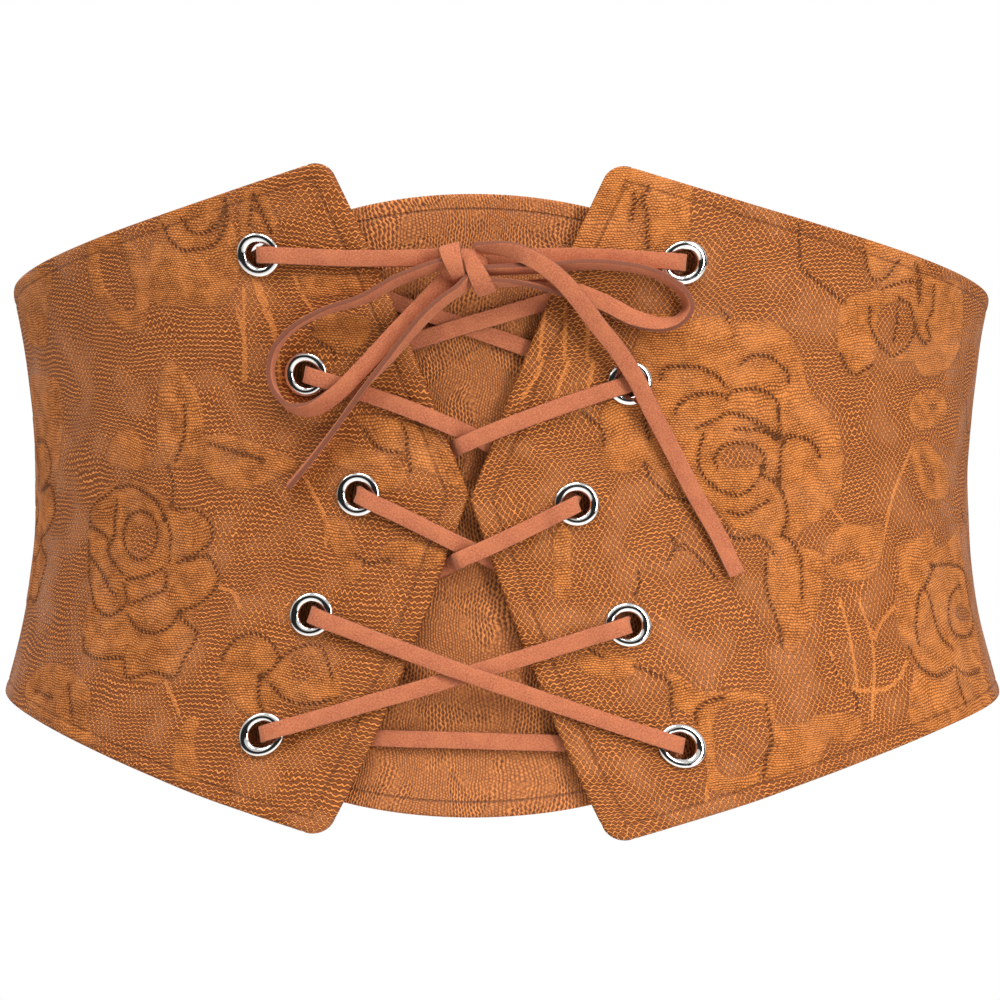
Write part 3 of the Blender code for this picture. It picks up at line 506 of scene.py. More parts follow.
def drawn_to_edges(share_across, share_up):
    """Places of a panel's cloth for shares across and up, blended from its four edges."""
    u, v = share_across[:, None], share_up[:, None]
    up = FRONT_BOTTOM + share_up * (FRONT_TOP - FRONT_BOTTOM)
    inner = np.stack([inner_edge(up), up], axis=1)
    seam = np.stack([np.full(len(up), SEAM), SIDE_BOTTOM + share_up * (SIDE_TOP - SIDE_BOTTOM)], axis=1)
    top = level_edge(TOP_EDGE, FRONT_TOP, SIDE_TOP, share_across)
    bottom = level_edge(BOTTOM_EDGE, FRONT_BOTTOM, SIDE_BOTTOM, share_across)
    ends = np.array([0.0, 1.0])
    corners = np.vstack([
        level_edge(TOP_EDGE, FRONT_TOP, SIDE_TOP, ends),
        level_edge(BOTTOM_EDGE, FRONT_BOTTOM, SIDE_BOTTOM, ends)])
    blend = (1 - v) * bottom + v * top + (1 - u) * inner + u * seam
    return blend - ((1 - u) * v * corners[0] + u * v * corners[1]
                    + (1 - u) * (1 - v) * corners[2] + u * (1 - v) * corners[3])


def round_corner(places, corner, before, after, radius):
    """Draw the cloth near a sharp corner in to an arc."""
    corner = np.asarray(corner, float)
    a = (np.asarray(before, float) - corner)
    b = (np.asarray(after, float) - corner)
    a /= np.linalg.norm(a)
    b /= np.linalg.norm(b)
    half = math.acos(a @ b) / 2
    centre = corner + (a + b) / np.linalg.norm(a + b) * radius / math.sin(half)
    offset = places - centre
    reach = np.maximum(np.linalg.norm(offset, axis=1), 1e-9)
    facing = offset / reach[:, None]
    edge_normals = [-(b - a * (a @ b)), -(a - b * (a @ b))]
    walls = []
    for normal in edge_normals:
        normal = normal / np.linalg.norm(normal)
        walls.append(radius / np.maximum(facing @ normal, 1e-9))
    wall = np.minimum(*walls)
    toward = facing @ (corner - centre) > radius * math.sin(half) - 1e-9
    scale = np.where(toward & (reach < wall * 1.001) & (wall > radius), radius / wall, 1.0)
    return centre + offset * scale[:, None]


# %% [markdown]
# The lace's flowers are drawn as smooth curves on the flat cloth.  A closed curve is an area of close
# clothwork, or of net inside it.  An open curve is a row of small holes or a raised thread.  For each point
# of the cloth the script works out how far it is from these curves, and the finish turns the distances into
# threads and holes.  Distances blend well over a mesh, which a painted mask of this fineness wouldn't.

# %% Distances to the lace's curves
def dense_curve(points, closed):
    """A smooth curve through points in millimetres."""
    rows = [(a, b, 0.0) for a, b in points]
    if closed:
        curve = smooth_through([rows[-1]] + rows + rows[:2], 5)[5:-5]
        return curve[:, :2]
    return smooth_through(rows, 5)[:, :2] if len(rows) > 2 else np.array(points, float)


def measure_curve(places, curve):
    """Distance, side and length along the curve of its nearest place, for each place."""
    best = np.full(len(places), 1e9)
    side = np.ones(len(places))
    run = np.zeros(len(places))
    start = 0.0
    for a, b in zip(curve[:-1], curve[1:]):
        step = b - a
        length = math.hypot(*step)
        if length < 1e-9:
            continue
        offset = places - a
        share = np.clip(offset @ step / length ** 2, 0, 1)
        gap = np.hypot(offset[:, 0] - share * step[0], offset[:, 1] - share * step[1])
        nearer = gap < best
        turn = step[0] * offset[:, 1] - step[1] * offset[:, 0]
        best = np.where(nearer, gap, best)
        side = np.where(nearer, np.where(turn < 0, -1.0, 1.0), side)
        run = np.where(nearer, start + share * length, run)
        start += length
    return best, side, run


def inside_curve(places, curve):
    """Which places lie inside a closed curve."""
    inside = np.zeros(len(places), bool)
    for a, b in zip(curve, np.roll(curve, -1, axis=0)):
        crosses = (a[1] > places[:, 1]) != (b[1] > places[:, 1])
        if crosses.any():
            spot = a[0] + (places[:, 1] - a[1]) * (b[0] - a[0]) / (b[1] - a[1] if b[1] != a[1] else 1e-12)
            inside ^= crosses & (places[:, 0] < spot)
    return inside


def near_curve(places, curve, margin):
    """Which places are near enough to a curve to be measured."""
    low, high = curve.min(axis=0) - margin, curve.max(axis=0) + margin
    return np.all((places > low) & (places < high), axis=1)


def lace_distances(places, pattern):
    """Each place's depth into clothwork, and its offset, run and nearness to holes and to threads."""
    count = len(places)
    cloth = np.full(count, -3.0)
    holes = np.tile([3.0, 0.0, 0.0], (count, 1))
    threads = np.tile([3.0, 0.0, 0.0], (count, 1))
    for kind, points in pattern:
        closed = kind in ("cloth", "net")
        curve = dense_curve(points, closed)
        if closed:
            curve = np.vstack([curve, curve[:1]])
        near = near_curve(places, curve, 3.5)
        gap, side, run = measure_curve(places[near], curve)
        if closed:
            depth = np.clip(np.where(inside_curve(places[near], curve[:-1]), gap, -gap), -3, 3)
            filled, opened = np.maximum(cloth[near], depth), np.minimum(cloth[near], -depth)
            cloth[near] = filled if kind == "cloth" else opened
        else:
            rows = holes if kind == "holes" else threads
            reach = np.clip(1 - gap / 1.6, 0, 1)
            nearer = reach > rows[near, 2]
            fresh = np.stack([np.clip(gap, 0, 3) * side, run, reach], axis=1)
            rows[near] = np.where(nearer[:, None], fresh, rows[near])
    return cloth, holes, threads


# %% [markdown]
# The curves themselves are short tables of flat places in millimetres.  The left panel has a rose with
# turned petals, leaves and two smaller flowers.  The right panel has a large rose that winds in to its
# heart, a smaller one above, another low at the side, and open leaves on stems.

# %% The lace's curves
LEFT_LACE = [
    ("cloth", [(-147, 56), (-129.5, 58), (-118, 58), (-123, 48.5), (-127, 40), (-142, 41.5)]),
    ("cloth", [
        (-146.5, 31), (-131, 31), (-123, 29), (-123.5, 17), (-128, 4.5), (-132.5, -1), (-143, -1),
        (-147, 13)]),
    ("cloth", [
        (-100, 64), (-101.5, 54), (-98.5, 47), (-88, 41.5), (-83.5, 48.5), (-83, 58), (-86, 64),
        (-91.5, 66.5)]),
    ("cloth", [
        (-80.5, 61), (-76, 69), (-70, 74.5), (-62, 77), (-56.5, 74.5), (-56.5, 68), (-56, 60),
        (-57.5, 53), (-61, 48.5), (-71, 48), (-81, 49), (-84, 55)]),
    ("cloth", [
        (-52, 76), (-49, 77), (-46.5, 72.5), (-45.5, 65), (-49.5, 64), (-51, 68.5), (-54, 64.5),
        (-54, 70.5)]),
    ("cloth", [(-94.5, 17.5), (-103, 9), (-86.5, 7.5)]),
    ("cloth", [(-79, 34), (-84, 21), (-82.5, 9), (-74.5, 7.5), (-70, 16.5), (-70, 22), (-74, 29.5)]),
    ("cloth", [
        (-70, 14), (-63.5, 15), (-54, 12.5), (-43.5, 7.5), (-51, 4), (-60.5, 1.5), (-67.5, 4.5),
        (-71, 9.5)]),
    ("cloth", [
        (-110.5, -12), (-110, -4), (-104, 1), (-99, 3), (-90.5, 3), (-85.5, 1), (-80, -2.5), (-71, -3.5),
        (-67, -8), (-68, -12.5), (-64.5, -22), (-68, -27.5), (-72, -30.5), (-69.5, -35), (-71.5, -41),
        (-74, -46), (-89, -47), (-99.5, -43), (-106, -40), (-108, -32), (-107, -27), (-110, -19.5)]),
    ("cloth", [
        (-62, -44), (-60, -38), (-56, -35), (-51, -35.5), (-46, -40), (-41.5, -38), (-36.5, -37.5),
        (-34, -41.5), (-30.5, -46), (-31, -52), (-40.5, -53), (-45, -51), (-49, -55.5), (-56, -52.5)]),
    ("cloth", [
        (-130, -51), (-126.5, -45.5), (-120.5, -44), (-112, -44.5), (-105, -47.5), (-100, -51),
        (-98.5, -58.5), (-93, -64), (-101, -62.5), (-112, -58.5), (-123.5, -55.5)]),
    ("cloth", [(-70, -63.5), (-69, -57.5), (-65.5, -56), (-65.5, -62), (-62, -72), (-68, -71)]),
    ("net", [
        (-96.5, 62.5), (-97.5, 54.5), (-94, 49.5), (-89, 46), (-87, 49), (-87, 56), (-89, 61.5),
        (-92, 62.5)]),
    ("net", [
        (-94, -11.5), (-93, -8.5), (-89.5, -7.5), (-86, -8.5), (-84.5, -11.5), (-86.5, -14.5),
        (-89.5, -15.5), (-93, -14)]),
    ("net", [(-43.5, -40.5), (-41, -39.5), (-38, -41), (-37.5, -45), (-40, -47), (-42.5, -45.5)]),
    ("holes", [
        (-75, 68.5), (-74, 64.5), (-71, 62), (-66.5, 62), (-62, 63), (-59, 66.5), (-57.5, 70),
        (-57.5, 74.5)]),
    ("holes", [(-69.5, 69.5), (-68, 66.5), (-64.5, 66), (-60.5, 68), (-58, 72)]),
    ("holes", [(-50, 75), (-52.5, 67)]),
    ("holes", [(-50, 74.5), (-47, 66)]),
    ("holes", [(-75, 22.5), (-75.5, 15.5), (-78.5, 9)]),
    ("holes", [(-67.5, 13), (-60, 10.5), (-53, 9)]),
    ("holes", [
        (-90.5, -4), (-86.5, -5.5), (-84.5, -10), (-86, -14.5), (-89.5, -16.5), (-93.5, -15), (-96, -10),
        (-94.5, -5.5), (-90.5, -4)]),
    ("holes", [(-98, 2), (-93.5, 2.5), (-90, 1), (-86.5, -0.5), (-83.5, -3.5), (-82.5, -6.5)]),
    ("holes", [(-99, -1.5), (-99.5, -5.5), (-99.5, -10), (-101.5, -14.5), (-99, -17.5), (-95.5, -20)]),
    ("holes", [(-110, -8), (-109, -3), (-104, -0.5), (-99.5, 2)]),
    ("holes", [(-109, -8), (-102.5, -11), (-101.5, -15), (-98.5, -18)]),
    ("holes", [
        (-110, -12), (-109, -19), (-106.5, -25), (-104, -29), (-99, -31), (-95, -29.5), (-93, -27),
        (-94.5, -23)]),
    ("holes", [(-109, -15.5), (-103, -20.5), (-99.5, -24.5), (-97.5, -25.5)]),
    ("holes", [(-82, -5.5), (-80, -10), (-80, -14), (-80, -17)]),
    ("holes", [(-93.5, -21.5), (-88.5, -21), (-82.5, -19)]),
    ("holes", [(-91, -28), (-86.5, -26), (-81, -24), (-80.5, -20)]),
    ("holes", [(-91.5, -31), (-89, -33.5), (-84.5, -35), (-80, -34.5), (-77, -32.5), (-75.5, -30)]),
    ("holes", [(-79.5, -3.5), (-71.5, -4), (-67.5, -8), (-68, -12), (-71.5, -14.5), (-77, -17)]),
    ("holes", [(-73.5, -16.5), (-68, -15.5), (-65, -22), (-69, -27), (-75.5, -29.5)]),
    ("holes", [
        (-74.5, -31.5), (-69.5, -35), (-72, -41), (-74, -46), (-80.5, -45), (-89, -46.5), (-91, -42),
        (-100, -42), (-106, -40), (-107, -37)]),
    ("holes", [(-81, 7), (-79.5, 2.5), (-80, -2.5)]),
    ("holes", [
        (-61.5, -41), (-60, -38), (-56, -35), (-51, -35.5), (-47.5, -38.5), (-46.5, -41.5), (-50.5, -46)]),
    ("holes", [(-45.5, -40.5), (-41.5, -38), (-36.5, -37.5), (-34, -41.5), (-32.5, -45.5)]),
    ("holes", [(-51, -45.5), (-50.5, -50.5), (-49, -54.5)]),
    ("holes", [(-47.5, -47.5), (-44.5, -50.5), (-40.5, -52), (-36, -52), (-31, -50.5)]),
    ("holes", [(-123.5, -51), (-114.5, -52.5)]),
    ("holes", [(-109, -49), (-104, -57.5)]),
    ("thread", [(-55.5, 51.5), (-56.5, 41.5), (-57.5, 29)]),
    ("thread", [(-51, 53), (-48.5, 42), (-47.5, 29)]),
    ("thread", [(-41.5, 4), (-36.5, -5.5), (-36, -12.5)]),
    ("thread", [(-68, -15), (-64.5, -23), (-60.5, -24.5), (-58, -28.5)]),
    ("thread", [(-76.5, -47.5), (-71, -55)]),
    ("cloth", [(-40, 54), (-32, 54.5), (-23.5, 54), (-23.5, 51), (-32, 50), (-40, 50.5)]),
    ("cloth", [(-37.5, 44.5), (-31, 45), (-24.5, 43.5), (-24.5, 39), (-29, 36), (-34.5, 36.5), (-38, 40)]),
    ("cloth", [
        (-28.5, 19.5), (-22.5, 19.5), (-13.5, 17.5), (-7.5, 13.5), (-2, 5.5), (-0.5, 1), (-4.5, 3),
        (-9, 5.5), (-14.5, 8), (-16, 10), (-20, 10), (-24.5, 14), (-27, 17.5)]),
    ("cloth", [
        (-35.5, 14), (-27, 11.5), (-20, 9.5), (-16, 6.5), (-17.5, 2), (-23.5, 1.5), (-29, 6),
        (-34.5, 8.5)]),
    ("cloth", [
        (-36.5, -6), (-32.5, -6), (-29, -10.5), (-27.5, -14.5), (-27, -20), (-29.5, -21.5), (-32, -16.5),
        (-35.5, -11)]),
    ("cloth", [
        (-22, -14.5), (-18, -11.5), (-11.5, -12.5), (-6, -14.5), (-7.5, -17.5), (-14.5, -17.5),
        (-19.5, -16.5)]),
    ("holes", [(-26, 16), (-24.5, 13.5), (-22, 11.5), (-20, 11), (-17.5, 10.5)]),
    ("holes", [(-16.5, 17.5), (-15.5, 14.5), (-15.5, 12), (-15, 9.5), (-14.5, 6)]),
    ("holes", [(-28, -15), (-25, -17), (-22, -16.5), (-19, -16)]),
    ("holes", [(-41, 42), (-39.5, 42), (-38, 41.5)]),
    ("holes", [(-37, 38.5), (-35, 37), (-33.5, 36), (-33, 33.5)]),
    ("holes", [(-61, 11), (-58, 10.5), (-55.5, 9.5), (-53, 8.5)]),
    ("thread", [(-53, 54.5), (-50, 45), (-48, 38.5)]),
    ("thread", [(-58, 46.5), (-56.5, 38.5), (-57, 29)]),
    ("thread", [(-42, 54.5), (-40.5, 50.5), (-38.5, 46.5)]),
]
RIGHT_LACE = [
    ("cloth", [
        (96, 64), (106, 63), (115, 60.5), (121.5, 56), (135, 54), (140, 38.5), (133.5, 32.5), (123, 31),
        (119, 34.5), (111, 34.5), (106, 38), (104.5, 32), (99.5, 30), (95, 34), (92.5, 45.5), (94, 49),
        (100.5, 51.5), (104.5, 53), (99.5, 55.5)]),
    ("cloth", [
        (44, 45), (52, 43.5), (59.5, 44.5), (65, 43), (73, 43.5), (79, 40), (83, 34), (86, 26), (95, 18),
        (97, 9), (96, -0.5), (90.5, -5.5), (84.5, -9), (80, -14.5), (75.5, -11), (65.5, -7.5),
        (59.5, -0.5), (49, 4), (41, 12), (38.5, 22), (39.5, 33.5)]),
    ("cloth", [
        (74.5, -13.5), (78.5, -13), (85, -13.5), (90, -15), (88.5, -26), (85.5, -32), (79.5, -38.5),
        (77.5, -39), (76.5, -33.5), (74.5, -26), (74, -21)]),
    ("cloth", [
        (91.5, -13.5), (94, -10), (98, -7.5), (104, -8), (110, -7.5), (109, -15), (106.5, -19.5),
        (100.5, -21.5), (94, -21), (91, -18)]),
    ("cloth", [(121, 13.5), (130.5, 12.5), (138.5, 6.5), (140, 1), (133, -1), (127, 0.5)]),
    ("cloth", [(120, 24), (125.5, 26.5), (133.5, 26), (136.5, 22), (131, 18), (124.5, 17), (120.5, 19.5)]),
    ("cloth", [
        (115.5, -13.5), (124, -11), (129.5, -8.5), (131.5, -13.5), (148, -8), (148, -6), (150, -20.5),
        (150, -43), (144, -58.5), (125.5, -60), (109.5, -58), (111.5, -51), (115, -43.5), (112.5, -38),
        (112, -30), (115.5, -20)]),
    ("cloth", [
        (79.5, -58), (82.5, -55.5), (88, -55), (93.5, -56), (94, -58.5), (89.5, -61.5), (84, -62),
        (80.5, -61.5)]),
    ("cloth", [
        (47, -44.5), (50.5, -45.5), (54.5, -49), (61, -49), (68.5, -49.5), (72, -52.5), (71.5, -57),
        (81, -58), (82.5, -62), (80, -67), (70.5, -70.5), (65.5, -70.5), (60.5, -73), (53.5, -73),
        (53.5, -66.5), (52.5, -61.5), (51.5, -55), (47.5, -51.5)]),
    ("net", [
        (105.5, 40.5), (104, 44.5), (105.5, 48.5), (109, 49.5), (113, 49.5), (116, 46), (116.5, 41),
        (114, 37), (110, 36)]),
    ("net", [(62.5, 9.5), (64, 11.5), (68, 12.5), (72, 11.5), (73, 9), (71.5, 7), (67.5, 6.5), (64, 7)]),
    ("net", [(37, -7), (44.5, -8), (51, -12.5), (49, -17), (40.5, -18.5), (33.5, -17), (32.5, -10)]),
    ("net", [(37, -19.5), (39, -19), (41.5, -21.5), (40, -24), (36.5, -24), (35.5, -22)]),
    ("net", [(92, -16.5), (95, -15), (99.5, -14), (102, -14.5), (102, -16), (98.5, -17), (94, -18)]),
    ("net", [(124.5, 11), (129.5, 8.5), (132.5, 5), (133, 3), (131, 3), (127, 6)]),
    ("net", [(127, 23.5), (130, 24.5), (132, 22.5), (129, 21.5)]),
    ("net", [(138, -30.5), (142, -29), (148, -30), (149, -31.5), (143.5, -33), (139, -32.5)]),
    ("net", [
        (56.5, -55.5), (60.5, -52), (65, -51), (68.5, -51.5), (69.5, -55), (69, -62), (66.5, -67.5),
        (61, -70), (56, -69.5), (55.5, -61.5)]),
    ("holes", [(96.5, 62.5), (98, 58.5), (100.5, 55), (103, 54.5), (105.5, 56), (107, 58), (108, 59.5)]),
    ("holes", [
        (101.5, 47.5), (102, 44), (104, 40.5), (106, 38.5), (108, 37), (111, 35.5), (115, 37.5),
        (117, 40), (117.5, 43), (116.5, 45.5), (114, 49), (110.5, 50)]),
    ("holes", [(110.5, 47.5), (111, 45), (111, 42.5), (111, 39.5)]),
    ("holes", [(104.5, 52.5), (108, 53.5), (112, 54.5), (115, 54.5), (117, 52), (118, 49)]),
    ("holes", [
        (122.5, 53.5), (123.5, 47.5), (122, 44), (124.5, 40.5), (122.5, 39), (119.5, 41), (117.5, 44)]),
    ("holes", [(114, 59), (116.5, 56), (118, 52)]),
    ("holes", [(78, 67.5), (79, 62), (80, 57.5), (84.5, 54), (89, 51.5), (93.5, 48.5)]),
    ("holes", [(94.5, 35.5), (96.5, 32), (99.5, 30.5), (102.5, 32), (104.5, 33)]),
    ("holes", [(46.5, 29), (47.5, 31.5), (50, 32), (53, 32), (56, 32), (58, 31), (60.5, 30), (63, 27.5)]),
    ("holes", [(67, 33), (69, 34.5), (72, 35), (75.5, 34), (77.5, 32.5), (79.5, 31), (80, 28.5)]),
    ("holes", [(50.5, 20.5), (51.5, 22.5), (54, 24.5), (56.5, 25), (59, 25.5), (62, 25), (64, 24)]),
    ("holes", [(65, 26), (68, 26.5), (71.5, 26.5), (74.5, 25.5), (77.5, 23), (78, 20)]),
    ("holes", [(61, 46), (62, 45), (63, 43.5), (63.5, 42.5)]),
    ("holes", [(61.5, 7), (61, 9.5), (63, 12), (66.5, 13), (71, 12.5), (74, 10.5), (74.5, 7.5), (73, 4.5)]),
    ("holes", [
        (58, 15), (57, 11), (57, 7.5), (58.5, 4.5), (62, 1.5), (64.5, 0.5), (67.5, 0), (70, 1), (72, 3)]),
    ("holes", [(56.5, 17), (61.5, 19), (64, 20.5), (69, 19.5), (73, 18), (75.5, 16.5), (80, 13.5)]),
    ("holes", [(66.5, 16.5), (70, 16.5), (73.5, 16), (76.5, 14.5), (78.5, 13.5)]),
    ("holes", [(80.5, 15), (84, 14.5), (86.5, 14), (89, 12), (90, 10)]),
    ("holes", [
        (77.5, 21), (79, 14.5), (79, 10.5), (78.5, 6), (79, 1.5), (80.5, -2.5), (80.5, -6.5), (79, -10)]),
    ("holes", [(73.5, 7), (75, 4.5), (77.5, 3), (79.5, 0.5)]),
    ("holes", [(43.5, 7.5), (45, 3.5), (47, 2), (49.5, -0.5), (52.5, -1), (55, -1.5)]),
    ("holes", [(65, -4), (68, -5), (70.5, -4), (74.5, -2), (76, -1)]),
    ("holes", [(64, -8), (65.5, -10.5), (68, -11), (70.5, -11)]),
    ("holes", [(72, -10), (74, -11.5), (75.5, -13), (76.5, -14.5)]),
    ("holes", [(79, -10), (81, -11), (83, -13.5), (84, -16.5), (84, -20), (83.5, -26.5)]),
    ("holes", [(50, -10), (51.5, -13), (54.5, -13.5), (57.5, -16.5), (59, -18), (61, -21)]),
    ("holes", [(74.5, -15), (74, -21), (74.5, -26), (75.5, -29.5), (76.5, -33.5), (76.5, -37.5)]),
    ("holes", [
        (143.5, -23.5), (137, -26), (134, -30.5), (134.5, -35), (137.5, -36.5), (144, -36.5),
        (149, -33.5), (150, -29), (149.5, -24), (149, -20), (140, -18), (132.5, -18), (128, -18)]),
    ("holes", [(129.5, -18.5), (126.5, -22), (122.5, -25), (120, -30), (118.5, -35), (118.5, -38)]),
    ("holes", [(125, -24), (126.5, -27.5), (127, -32), (128.5, -36.5), (132.5, -39.5)]),
    ("holes", [(114.5, -39), (116.5, -43.5), (120.5, -46), (126, -46), (131.5, -44)]),
    ("holes", [(132.5, -45), (137, -46.5), (146, -45.5)]),
    ("holes", [(131.5, -46), (131, -49.5), (131.5, -53.5)]),
    ("holes", [(89.5, -41), (90.5, -45), (93.5, -49), (94.5, -51.5), (94, -54)]),
    ("holes", [(70, -52.5), (70, -56.5), (69.5, -62), (67.5, -65.5), (66, -70)]),
    ("holes", [(52.5, -56.5), (52.5, -54), (55.5, -51.5), (59.5, -50.5)]),
    ("thread", [(122, 13.5), (116.5, 4.5), (112.5, -5), (109.5, -14), (106.5, -19)]),
    ("thread", [(90.5, 1), (94, -3.5), (98, -7.5)]),
    ("thread", [
        (89.5, -39.5), (90.5, -44.5), (93, -48.5), (99, -49.5), (104.5, -49), (109.5, -46),
        (112.5, -42.5)]),
    ("thread", [(94.5, -26.5), (96, -34), (96, -41.5), (95.5, -48.5)]),
    ("thread", [(100.5, -26.5), (102.5, -34.5), (102, -42.5), (97.5, -56.5)]),
    ("thread", [(112, -28.5), (107, -32), (103.5, -36.5)]),
    ("cloth", [
        (31.5, 81.5), (40, 80.5), (49.5, 78.5), (50.5, 70), (50, 61), (38, 60), (24.5, 60.5), (26.5, 70),
        (29.5, 76.5)]),
    ("cloth", [(33, 22), (37.5, 23), (42, 22), (42.5, 14.5), (42, 7), (37, 6), (33.5, 7.5), (32.5, 15.5)]),
    ("cloth", [(21.5, -8.5), (24.5, -8.5), (24.5, -16), (24, -25.5), (21.5, -25.5), (21, -16)]),
    ("cloth", [
        (26, -41), (30.5, -39), (35.5, -39.5), (39.5, -41.5), (38.5, -44.5), (33.5, -45.5), (28, -44)]),
    ("holes", [(40.5, 76.5), (39.5, 73), (40.5, 70.5), (41, 67), (41.5, 61.5)]),
    ("holes", [(37.5, 74.5), (37.5, 71.5), (37, 67.5)]),
    ("holes", [(28, 20.5), (30, 18.5), (32, 17), (33, 14.5), (33, 12.5)]),
    ("holes", [(43, 19.5), (43.5, 17), (44.5, 14)]),
    ("holes", [(48.5, -17), (51, -13.5), (53, -12)]),
    ("holes", [(41.5, -19.5), (41.5, -22.5), (40.5, -24.5)]),
    ("holes", [(29, -38.5), (30.5, -39.5), (31.5, -40)]),
    ("holes", [(39.5, -42.5), (43.5, -44.5), (47, -46.5), (47, -51.5), (47, -54.5)]),
    ("thread", [(18, 46.5), (17.5, 40.5), (17, 34)]),
    ("thread", [(23, 46.5), (23, 40.5), (23, 34)]),
    ("thread", [(28, 46.5), (28.5, 40.5), (28.5, 34)]),
    ("thread", [(13, 24), (16, 29), (18, 33)]),
    ("thread", [(21, 24), (22.5, 29), (24, 33)]),
    ("thread", [(28.5, 25), (29.5, 29), (30, 33)]),
    ("thread", [(53.5, -69.5), (52.5, -72.5), (52, -75.5)]),
]


def repeated(pattern, low, high, shift):
    """Copies of the curves that lie wholly between two corners, moved round to the side."""
    copies = []
    for kind, points in pattern:
        if all(low[0] <= a <= high[0] and low[1] <= b <= high[1] for a, b in points):
            copies.append((kind, [(a + shift[0], b + shift[1]) for a, b in points]))
    return copies


LEFT_LACE += repeated(LEFT_LACE, (-112, -50), (-62, 5), (-64, 18))
RIGHT_LACE += repeated(RIGHT_LACE, (90, 28), (126, 66), (56, -38))
print("lace curves:", len(LEFT_LACE), "left and", len(RIGHT_LACE), "right")

# %% [markdown]
# Now the panel itself.  The grid is drawn to the four edges and its corner is turned, the faces at the
# eyelets are taken out and the holes made round, and a Solidify modifier gives the wall.  Then the outer
# face is raised where the clothwork is thick, dipped at the hem's seam and round the eyelets, and eased at
# the rim.  Last of all the flat cloth is bent round the waist.

# %% Build the panels
COLUMNS, ROWS = 214, 206
HOLE_RADIUS = 3.95
CORNER_RADIUS = 4.5
HEM = 3.6
INNER_HEM = 5.2
CLOTH_RISE, THREAD_RISE, UNEVEN_RISE, MOST_RISE = 0.16, 0.10, 0.14, 0.26
HOLE_DIP, SEAM_DIP, EYELET_DIP = 0.18, 0.22, 0.10


def smooth_step(value, low, high):
    """0 below low, 1 above high, and a smooth change between them."""
    share = np.clip((value - low) / (high - low), 0, 1)
    return share * share * (3 - 2 * share)


def grid_piece(name, columns, rows):
    """A flat grid primitive, and for each of its points its share across and up."""
    bpy.ops.object.select_all(action="DESELECT")
    bpy.ops.mesh.primitive_grid_add(x_subdivisions=columns, y_subdivisions=rows, size=1)
    piece = bpy.context.object
    piece.name = name
    places = np.empty(len(piece.data.vertices) * 3)
    piece.data.vertices.foreach_get("co", places)
    index = np.rint((places.reshape(-1, 3)[:, :2] + 0.5) * (columns, rows)).astype(int)
    return piece, index


def set_places(piece, places):
    """Move every point of a piece."""
    piece.data.vertices.foreach_set("co", np.asarray(places, float).ravel())
    piece.data.update()


def get_places(piece):
    """Where every point of a piece is."""
    places = np.empty(len(piece.data.vertices) * 3)
    piece.data.vertices.foreach_get("co", places)
    return places.reshape(-1, 3)


def delete_faces(piece, chosen):
    """Delete the chosen faces in edit mode."""
    bpy.ops.object.mode_set(mode="EDIT")
    bpy.ops.mesh.select_all(action="DESELECT")
    bpy.ops.object.mode_set(mode="OBJECT")
    piece.data.polygons.foreach_set("select", np.asarray(chosen, bool))
    bpy.ops.object.mode_set(mode="EDIT")
    bpy.ops.mesh.select_mode(type="FACE")
    bpy.ops.mesh.delete(type="FACE")
    bpy.ops.object.mode_set(mode="OBJECT")


def apply_modifier(piece, kind, **settings):
    """Add a modifier with its settings and apply it."""
    made = piece.modifiers.new(kind.lower(), kind)
    for key, value in settings.items():
        setattr(made, key, value)
    select_only(piece)
    bpy.ops.object.modifier_apply(modifier=made.name)


def waves(places, seed, size):
    """Gentle unevenness from -1 to 1, as a sum of crossing waves."""
    chance = np.random.default_rng(seed)
    total = np.zeros(len(places))
    for _ in range(7):
        turn = chance.uniform(0, 2 * math.pi)
        length = size * chance.uniform(0.7, 1.8)
        run = places @ (math.cos(turn), math.sin(turn))
        total += np.sin(run * 2 * math.pi / length + chance.uniform(0, 6.28))
    return total / 3.2


def panel_rim(samples=160):
    """The panel's outline as drawn."""
    share = np.linspace(0, 1, samples)
    zero, one = np.zeros(samples), np.ones(samples)
    parts = [(zero, share), (share, one), (one, share[::-1]), (share[::-1], zero)]
    rim = np.vstack([drawn_to_edges(u, v)[:-1] for u, v in parts])
    return turned_corners(rim)


def turned_corners(places):
    """Turn the panel's two front corners."""
    for front, table, side in ((FRONT_TOP, TOP_EDGE, SIDE_TOP), (FRONT_BOTTOM, BOTTOM_EDGE, SIDE_BOTTOM)):
        corner = level_edge(table, front, side, np.array(0.0))
        along = level_edge(table, front, side, np.array(0.06))
        down = (float(inner_edge(front * 0.9)), front * 0.9)
        places = round_corner(places, corner, down, along, CORNER_RADIUS)
    return places


